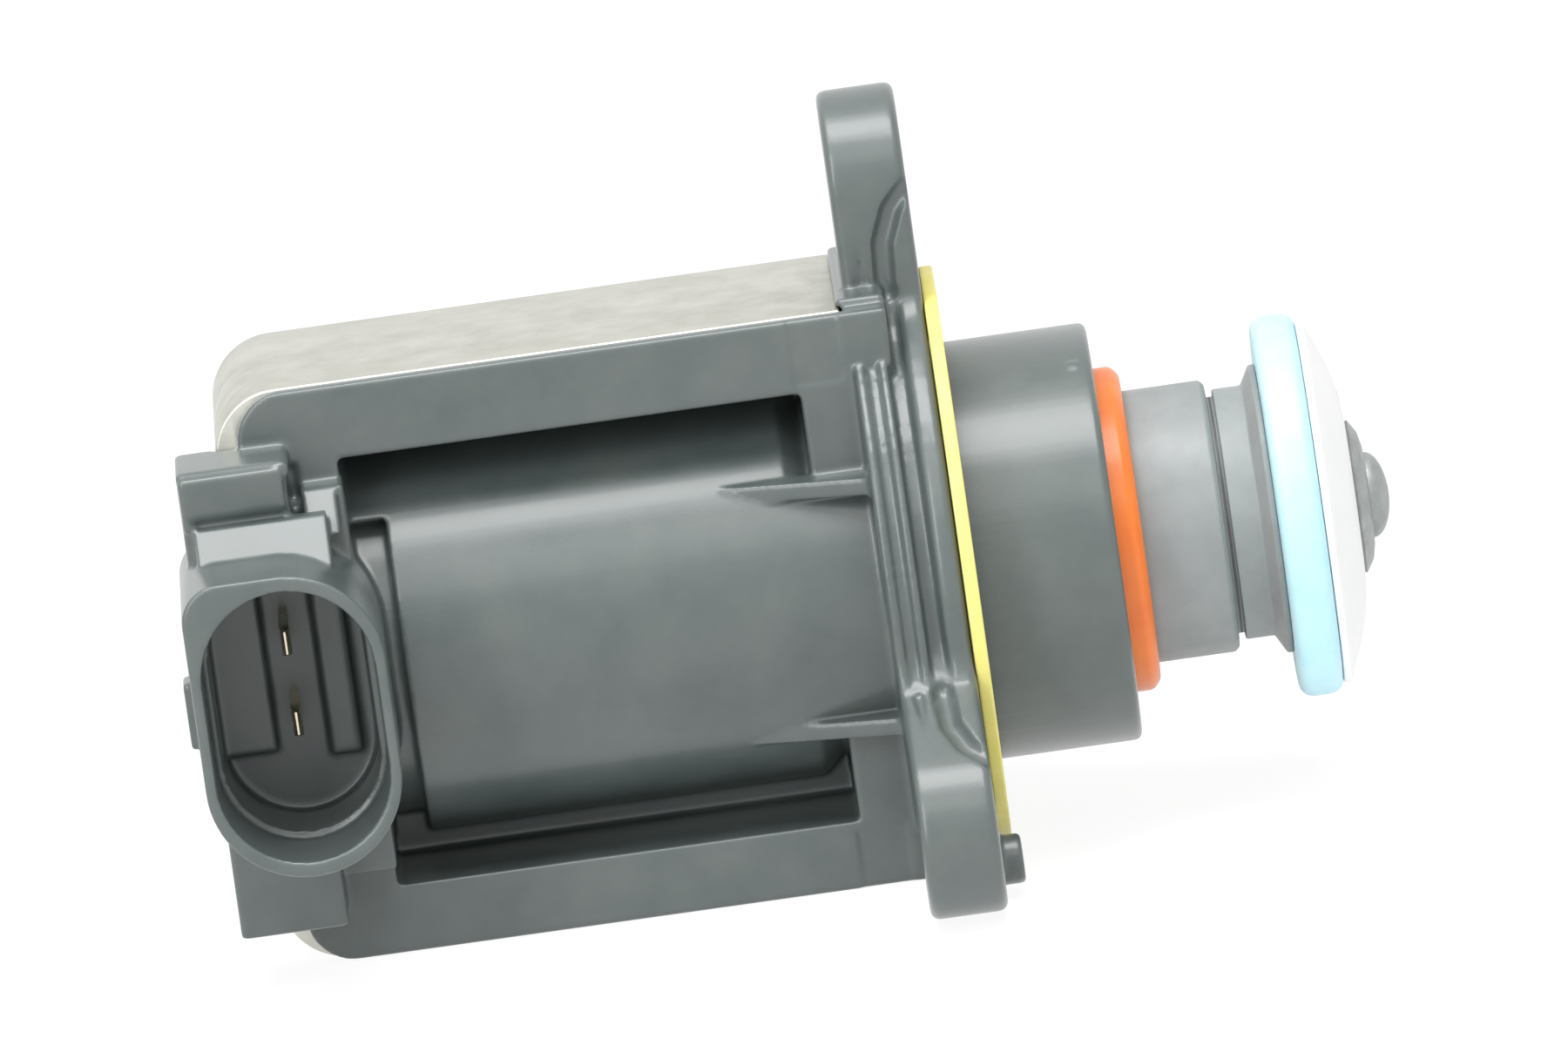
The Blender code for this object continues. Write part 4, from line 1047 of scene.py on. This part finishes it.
def strap_outline(growth: float, end: float) -> list[Flat]:
    """Return the U-shaped outline of the strap, grown by a clearance.

    Args:
        growth: How much it grows on all sides.
        end: Where its two legs end.

    Returns:
        The closed outline as x and z.
    """
    low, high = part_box("yoke_bracket")
    bend, thick = 0.0054, 0.0025
    top, left = high.z + growth, low.x - growth
    outer, inner = bend + growth, bend - thick - growth
    under, inside = high.z - thick - growth, low.x + thick + growth
    upper = [(end, under), (end, top)]
    upper += arc((left + outer, top - outer), outer, pi / 2, pi)
    hollow = arc((inside + inner, under - inner), inner, pi / 2, pi)
    return upper + mirrored(upper) + mirrored(hollow[::-1]) + hollow[::-1]


@dataclass
class Strap:
    """The zinc-plated steel strap round the coil, with the core's staked head in its end."""

    edge: float = 0.00022
    head_radius: float = 0.005
    head_chamfer: Flat = (0.0002, 0.0008)
    head_round: float = 0.00025

    def build(self) -> None:
        """Make the strap and the staked head."""
        low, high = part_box("yoke_bracket")
        strap = prism("steel_strap", strap_outline(0.0, high.x), Plane.XZ, low.y, high.y, self.edge)
        fit(soften(strap), ZINC, Body.VALVE, "yoke_bracket")
        back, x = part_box("stator_core")[0].x, low.x + HAIR
        deep, side = self.head_chamfer
        head = [(back, 0), (back, self.head_radius - side), (back + deep, self.head_radius),
                (x, self.head_radius), (x, 0)]
        fit(turned("staked_core_head", rounded(head, self.head_round)), STEEL, Body.VALVE)


@dataclass
class Bushes:
    """The three steel bushes in the ears, with rounded ends."""

    bore: float = 0.00325
    edge: float = 0.0003

    def build(self, centres: Sequence[Flat]) -> None:
        """Make the bushes at the ears' centres."""
        for number, centre in enumerate(centres, start=1):
            node = f"flange_bush_{number}"
            low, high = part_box(node)
            ring = hoop(low.x, high.x, self.bore, (high.z - low.z) / 2)
            bush = turned(f"ear_bush_{number}", rounded(ring, self.edge), centre, ROD_STEPS)
            fit(bush, BUSH_STEEL, Body.VALVE, node)


@dataclass
class Blades:
    """The two tinned contact blades in the plug socket."""

    foot_y: float = -0.0092
    thickness: float = 0.0008
    tip_length: float = 0.0016
    tip_share: float = 0.7
    tip_edge: float = 0.00012
    bevel_width: float = 0.00006
    bevel_steps: int = 2
    bevel_angle: float = radians(20)

    def build(self) -> None:
        """Make each blade with a tip that is ground thin on both sides."""
        for number in (1, 2):
            node = f"terminal_blade_{number}"
            low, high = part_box(node)
            middle, half = (low.z + high.z) / 2, (high.z - low.z) / 2
            flat, tip = low.y + self.tip_length, half * self.tip_share
            outline = [(self.foot_y, middle - half), (flat, middle - half), (low.y, middle - tip),
                       (low.y, middle + tip), (flat, middle + half), (self.foot_y, middle + half)]
            blade = prism(f"contact_blade_{number}", outline, Plane.YZ, low.x,
                          low.x + self.thickness)
            cut(blade, [self._grind(side, low, high) for side in (-1, 1)])
            bevel(blade, self.bevel_width, self.bevel_steps, self.bevel_angle)
            fit(soften(blade), TIN, Body.VALVE, node)

    def _grind(self, side: int, low: Vector, high: Vector) -> Object:
        """Return the wedge that grinds one side of a blade's tip.

        Args:
            side: -1 or 1.
            low: The blade's lowest corner.
            high: Its highest corner.

        Returns:
            The cutter.
        """
        centre, before = low.x + self.thickness / 2, low.y - OVERSHOOT
        sheet, edge = centre + side * self.thickness, centre + side * self.tip_edge
        slope = [(edge, before), (edge, low.y),
                 (sheet, low.y + self.tip_length + OVERSHOOT / 2), (sheet, before)]
        if side > 0:
            slope.reverse()
        return prism(f"grind_{side}", slope, Plane.XY, low.z - OVERSHOOT, high.z + OVERSHOOT)


@dataclass
class Seals:
    """The yellow gasket on the flange's face and the orange lip seal in the collar."""

    gasket_width: float = 0.0036
    gasket_edge: float = 0.00025
    bead: float = 0.00035
    bead_span: Flat = (0.0008, 0.0011)
    seal_inner: float = 0.01145
    skirt_gap: float = 0.00012
    mouth_x: float = 0.0122
    lip_radius: float = 0.01365
    lip_chamfer: Flat = (0.0007, 0.0008)
    lip_edge: float = 0.0004
    lip_edge_steps: int = 5

    def build(self) -> None:
        """Make both seals."""
        self._gasket()
        self._lip_seal()

    def _gasket(self) -> None:
        """Make the gasket: a flat ring with a sealing bead along each edge."""
        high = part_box("flange_gasket")[1]
        outer, inner, front, x = high.z, high.z - self.gasket_width, high.x, HAIR
        bead = front - self.bead
        side, slope = self.bead_span
        ring = [(x, inner), (x, outer), (front, outer), (front, outer - side),
                (bead, outer - slope), (bead, inner + slope), (front, inner + side),
                (front, inner)]
        fit(turned("face_gasket", rounded(ring, self.gasket_edge)), YELLOW, Body.VALVE,
            "flange_gasket")

    def _lip_seal(self) -> None:
        """Make the lip seal, with a step between its body and its lip."""
        low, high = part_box("lip_seal")
        inner, outer, end = self.seal_inner + self.skirt_gap, high.z, high.x
        nose, mouth, edge = self.lip_radius, self.mouth_x, self.lip_edge
        back, drop = self.lip_chamfer
        ring = [(low.x, inner), (low.x, outer), (mouth, outer), (mouth, nose), (end - back, nose),
                (end, nose - drop), (end, inner + edge), (end - edge, inner)]
        seal = turned("orange_lip_seal", rounded(ring, edge, self.lip_edge_steps))
        fit(seal, ORANGE, Body.VALVE, "lip_seal")


# The sliding piston


@dataclass
class PistonGroup:
    """The piston with its soft disc, white cap and rivet."""

    # The cup
    skirt: float = 0.01145
    wall: float = 0.0015
    shoulder_x: float = 0.0223
    shoulder_edge: float = 0.0004
    groove: float = 0.0006
    neck: float = 0.01055
    flare: float = 0.01215
    flare_lip: float = 0.0005
    flare_slope: float = 0.55
    stop: float = 0.0127
    stop_length: float = 0.0015
    face_wall: float = 0.0037
    cup_edge: float = 0.00018

    # Holes, and the gap between two pieces that touch
    hole_radius: float = 0.0011
    hole_circle: float = 0.0082
    rivet: float = 0.0024
    gap: float = TINY * 20

    # Disc and cap
    disc_edge: float = 0.0014
    disc_edge_steps: int = 8
    cap_top: float = 0.0064
    cap_edge: float = 0.0006
    cap_corner: float = 0.0002
    cap_corner_steps: int = 3
    cap_steps: int = 16

    # The rivet's button
    button_flange: float = 0.0009
    button_chamfer: Flat = (0.0002, 0.0001)
    button_slope: float = 0.0011
    dome: float = 0.0036
    dome_foot: Flat = (0.00025, 0.0006)
    dome_rise: float = 0.0003
    dome_steps: int = 9

    def build(self) -> None:
        """Make the four pieces."""
        self._piston()
        self._disc()
        self._cap()
        self._button()

    def _drilled(self, piece: Object, low: float, high: float) -> Object:
        """Return a piece shaded smooth, with the two balance holes drilled through it.

        Args:
            piece: The piece.
            low: The x of its back.
            high: The x of its front.

        Returns:
            The same piece.
        """
        drills = [rod(f"{piece.name}_hole_{side}", (low - OVERSHOOT, 0, z),
                      (high + OVERSHOOT, 0, z), self.hole_radius, steps=HOLE_STEPS)
                  for side, z in enumerate((self.hole_circle, -self.hole_circle))]
        return soften(cut(piece, drills))

    def _piston(self) -> None:
        """Make the cup with its stop rim, skirt, shadow groove, neck and flared lip."""
        start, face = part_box("piston")[0].x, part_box("piston")[1].x
        inner, back = self.skirt - self.wall, face - self.face_wall
        shoulder, groove, edge = self.shoulder_x, self.groove, self.shoulder_edge
        rim_end, root, lip = start + self.stop_length, self.neck - groove, face - self.flare_lip
        foot = lip - (self.flare - self.neck) * self.flare_slope
        section = [
            (start, inner), (start, self.stop), (rim_end, self.stop), (rim_end, self.skirt),
            (shoulder - edge, self.skirt), (shoulder, self.skirt - edge), (shoulder, root),
            (shoulder + groove, root), (shoulder + groove, self.neck), (foot, self.neck),
            (lip, self.flare), (face, self.flare), (face, self.rivet), (back, self.rivet),
            (back, inner),
        ]
        cup = self._drilled(turned("piston_cup", rounded(section, self.cup_edge)), back, face)
        fit(cup, PISTON_PLASTIC, Body.PISTON, "piston")

    def _disc(self) -> None:
        """Make the soft disc with its full round edge."""
        start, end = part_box("piston")[1].x + self.gap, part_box("disc_cap")[0].x - self.gap
        ring = rounded(hoop(start, end, self.rivet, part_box("seal_disc")[1].z), self.disc_edge,
                       self.disc_edge_steps)
        fit(self._drilled(turned("soft_disc", ring), start, end), BLUE, Body.PISTON, "seal_disc")

    def _cap(self) -> None:
        """Make the crowned cap with a low straight side."""
        low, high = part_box("disc_cap")
        outer, top = high.z, high.x
        section = [(low.x, self.rivet), (low.x, outer), (low.x + self.cap_edge, outer)]
        for step in range(1, self.cap_steps + 1):
            share = step / self.cap_steps
            radius = outer + (self.cap_top - outer) * share
            rise = (top - low.x - self.cap_edge) * sin(share * pi / 2)
            section.append((low.x + self.cap_edge + rise, radius))
        section.append((top, self.rivet))
        cap = turned("white_cap", rounded(section, self.cap_corner, self.cap_corner_steps))
        fit(self._drilled(cap, low.x, top), WHITE_PLASTIC, Body.PISTON, "disc_cap")

    def _button(self) -> None:
        """Make the rivet's button: a sloped flange with a dome on it."""
        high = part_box("rivet_button")[1]
        radius, back = high.z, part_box("disc_cap")[1].x + self.gap
        flange = back + self.button_flange
        section = [
            (back, 0), (back, radius - self.button_chamfer[1]),
            (back + self.button_chamfer[0], radius), (flange, radius - self.button_slope),
            (flange + self.dome_foot[0], self.dome + self.dome_foot[1]),
        ]
        start, last = flange + self.dome_rise, self.dome_steps
        for step in range(last + 1):
            turn = step / last * pi / 2
            section.append((start + (high.x - flange - self.dome_rise) * sin(turn),
                            self.dome * cos(turn) if step < last else 0.0))
        fit(turned("domed_button", section), RIVET, Body.PISTON, "rivet_button")


@dataclass
class ReturnSpring:
    """The compression spring between the core and the armature."""

    wire: float = 0.00035
    wire_steps: int = 12
    turns: int = 8
    turn_steps: int = 24
    travel: float = 0.006

    def build(self) -> None:
        """Make the coil."""
        low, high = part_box("return_spring")
        radius = high.z - self.wire
        start, end = low.x + self.wire, high.x - self.wire
        section = [(start + self.wire * cos(a), 0.0, radius + self.wire * sin(a))
                   for a in (2 * pi * i / self.wire_steps for i in range(self.wire_steps))]
        coil = ring_of_points("return_coil", section, False)
        steps = self.turn_steps * self.turns
        add_modifier(coil, "SCREW", axis="X", angle=2 * pi * self.turns, steps=steps,
                     render_steps=steps, screw_offset=end - start)
        edit(coil)
        bpy.ops.mesh.edge_face_add()
        close()
        fit(soften(coil), SPRING_STEEL, Body.VALVE, "return_spring")
        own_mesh(coil)


HIDDEN_FINISHES = {
    "pole_plate": STEEL, "coil_bobbin": SPOOL, "coil_winding": COPPER, "stator_core": STEEL,
    "stop_shim": BRASS, "guide_tube": BRASS, "guide_o_ring": BLACK_RUBBER, "seal_retainer": STEEL,
    "armature": STEEL, "backing_washer": STEEL,
}


def dress_hidden(nodes: dict[str, Object]) -> None:
    """Give each solid that stays its own finish."""
    for name, finish in HIDDEN_FINISHES.items():
        node = nodes[name]
        node.data.materials.clear()
        node.data.materials.append(finish.material())


# Studio


@dataclass(frozen=True)
class Softbox:
    """One soft lamp that points at the valve.

    Attributes:
        name: The lamp's name.
        place: Where it hangs.
        size: Its width and height.
        radiance: How bright its face looks, where 1 is white.
    """

    name: str
    place: Spot
    size: Flat
    radiance: float


@dataclass
class Studio:
    """The pale floor, the soft lamps and the camera of the photograph."""

    aim: Spot = (-0.0140, 0.0, 0.0046)
    distance: float = 2.4
    elevation: float = radians(12.6)
    roll: float = radians(8.0)
    view_width: float = 0.1310
    sensor: float = 36.0
    ambient: float = 0.46
    softboxes: tuple[Softbox, ...] = (
        Softbox("top_softbox", (-0.05, -0.20, 0.88), (0.90, 0.46), 6.8),
        Softbox("front_softbox", (-0.15, -0.80, 0.72), (1.1, 0.36), 1.5),
        Softbox("side_softbox", (-0.74, -1.00, 0.50), (0.28, 0.9), 6.0),
    )
    floor_size: float = 6.0
    floor_tone: Colour = (0.9, 0.9, 0.9)
    floor_rough: float = 0.9
    floor_gloss: float = 0.1
    floor_glow: float = 1.08
    floor_glow_share: float = 0.85

    def build(self) -> None:
        """Set up the floor, the world, the lamps and the camera."""
        self._floor()
        self._world()
        for softbox in self.softboxes:
            self._lamp(softbox)
        self._camera()
        bpy.context.scene.view_settings.view_transform = "Standard"

    def _camera(self) -> None:
        """Make the camera at the photograph's place, leaning with it."""
        back = Vector((0.0, -cos(self.elevation), sin(self.elevation)))
        level_up = Vector((0.0, sin(self.elevation), cos(self.elevation)))
        along = Vector((1.0, 0.0, 0.0))
        right = along * cos(self.roll) - level_up * sin(self.roll)
        up = along * sin(self.roll) + level_up * cos(self.roll)
        place = Vector(self.aim) + back * self.distance
        data = bpy.data.cameras.new("photo_camera")
        data.sensor_width = self.sensor
        data.lens = self.sensor * self.distance / self.view_width
        camera = bpy.data.objects.new("photo_camera", data)
        bpy.context.scene.collection.objects.link(camera)
        camera.matrix_world = Matrix((
            (right.x, up.x, back.x, place.x), (right.y, up.y, back.y, place.y),
            (right.z, up.z, back.z, place.z), (0.0, 0.0, 0.0, 1.0),
        ))
        bpy.context.scene.camera = camera

    def _lamp(self, softbox: Softbox) -> None:
        """Make a soft area lamp that points at the valve."""
        width, height = softbox.size
        data = bpy.data.lights.new(softbox.name, "AREA")
        data.shape = "RECTANGLE"
        data.size, data.size_y = width, height
        data.energy = softbox.radiance * pi * width * height
        lamp = bpy.data.objects.new(softbox.name, data)
        bpy.context.scene.collection.objects.link(lamp)
        lamp.location = softbox.place
        aim = Vector(self.aim) - Vector(softbox.place)
        lamp.rotation_euler = aim.to_track_quat("-Z", "Y").to_euler()

    @staticmethod
    def _seen_directly(tree: NodeTree) -> NodeSocket:
        """Return 1 for rays from the camera, a reflection or a clear piece, and 0 for others."""
        path = tree.nodes.new("ShaderNodeLightPath")
        total = path.outputs["Is Camera Ray"]
        for name in ("Is Glossy Ray", "Is Transmission Ray"):
            larger = tree.nodes.new("ShaderNodeMath")
            larger.operation = "MAXIMUM"
            tree.links.new(total, larger.inputs[0])
            tree.links.new(path.outputs[name], larger.inputs[1])
            total = larger.outputs["Value"]
        return total

    @staticmethod
    def _mix(tree: NodeTree, share: NodeSocket, first: Node, second: Node, end: str) -> None:
        """Lead a mix of two shaders to the output of this name, by a share of the second."""
        mix = tree.nodes.new("ShaderNodeMixShader")
        tree.links.new(share, mix.inputs["Fac"])
        for number, shader in enumerate((first, second), start=1):
            tree.links.new(shader.outputs[0], mix.inputs[number])
        tree.links.new(mix.outputs["Shader"], tree.nodes[end].inputs["Surface"])

    def _world(self) -> None:
        """Make a world that is white to look at and lights softly."""
        world = bpy.data.worlds.new("studio")
        bpy.context.scene.world = world
        world.use_nodes = True
        tree = world.node_tree
        soft, seen = tree.nodes["Background"], tree.nodes.new("ShaderNodeBackground")
        for shader, strength in ((soft, self.ambient), (seen, 1.0)):
            shader.inputs["Color"].default_value = WHITE
            shader.inputs["Strength"].default_value = strength
        self._mix(tree, self._seen_directly(tree), soft, seen, "World Output")

    def _floor(self) -> None:
        """Make the plain pale floor under the valve."""
        bpy.ops.object.select_all(action="DESELECT")
        bpy.ops.mesh.primitive_plane_add(size=self.floor_size,
                                         location=(0.0, 0.0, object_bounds()[0][2] - HAIR))
        floor = bpy.context.active_object
        floor.name = "pale_floor"
        material = bpy.data.materials.new("pale_floor")
        material.use_nodes = True
        tree = material.node_tree
        shader = tree.nodes["Principled BSDF"]
        for socket, value in (("Base Color", (*self.floor_tone, 1.0)),
                              ("Roughness", self.floor_rough),
                              ("Specular IOR Level", self.floor_gloss)):
            shader.inputs[socket].default_value = value
        glow = tree.nodes.new("ShaderNodeEmission")
        glow.inputs["Strength"].default_value = self.floor_glow
        share = tree.nodes.new("ShaderNodeMath")
        share.operation = "MULTIPLY"
        share.inputs[1].default_value = self.floor_glow_share
        tree.links.new(self._seen_directly(tree), share.inputs[0])
        self._mix(tree, share.outputs["Value"], shader, glow, "Material Output")
        floor.data.materials.append(material)
        floor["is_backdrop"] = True


def main() -> None:
    """Build the valve's looks and its studio."""
    logging.basicConfig(level=logging.INFO, format="%(name)s: %(message)s")
    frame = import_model()
    Studio().build()
    dress_hidden(frame["nodes"])
    housing = Housing()
    housing.build()
    Strap().build()
    Bushes().build(housing.ear_centres())
    Blades().build()
    Seals().build()
    PistonGroup().build()
    ReturnSpring().build()


if __name__ == "__main__":
    main()
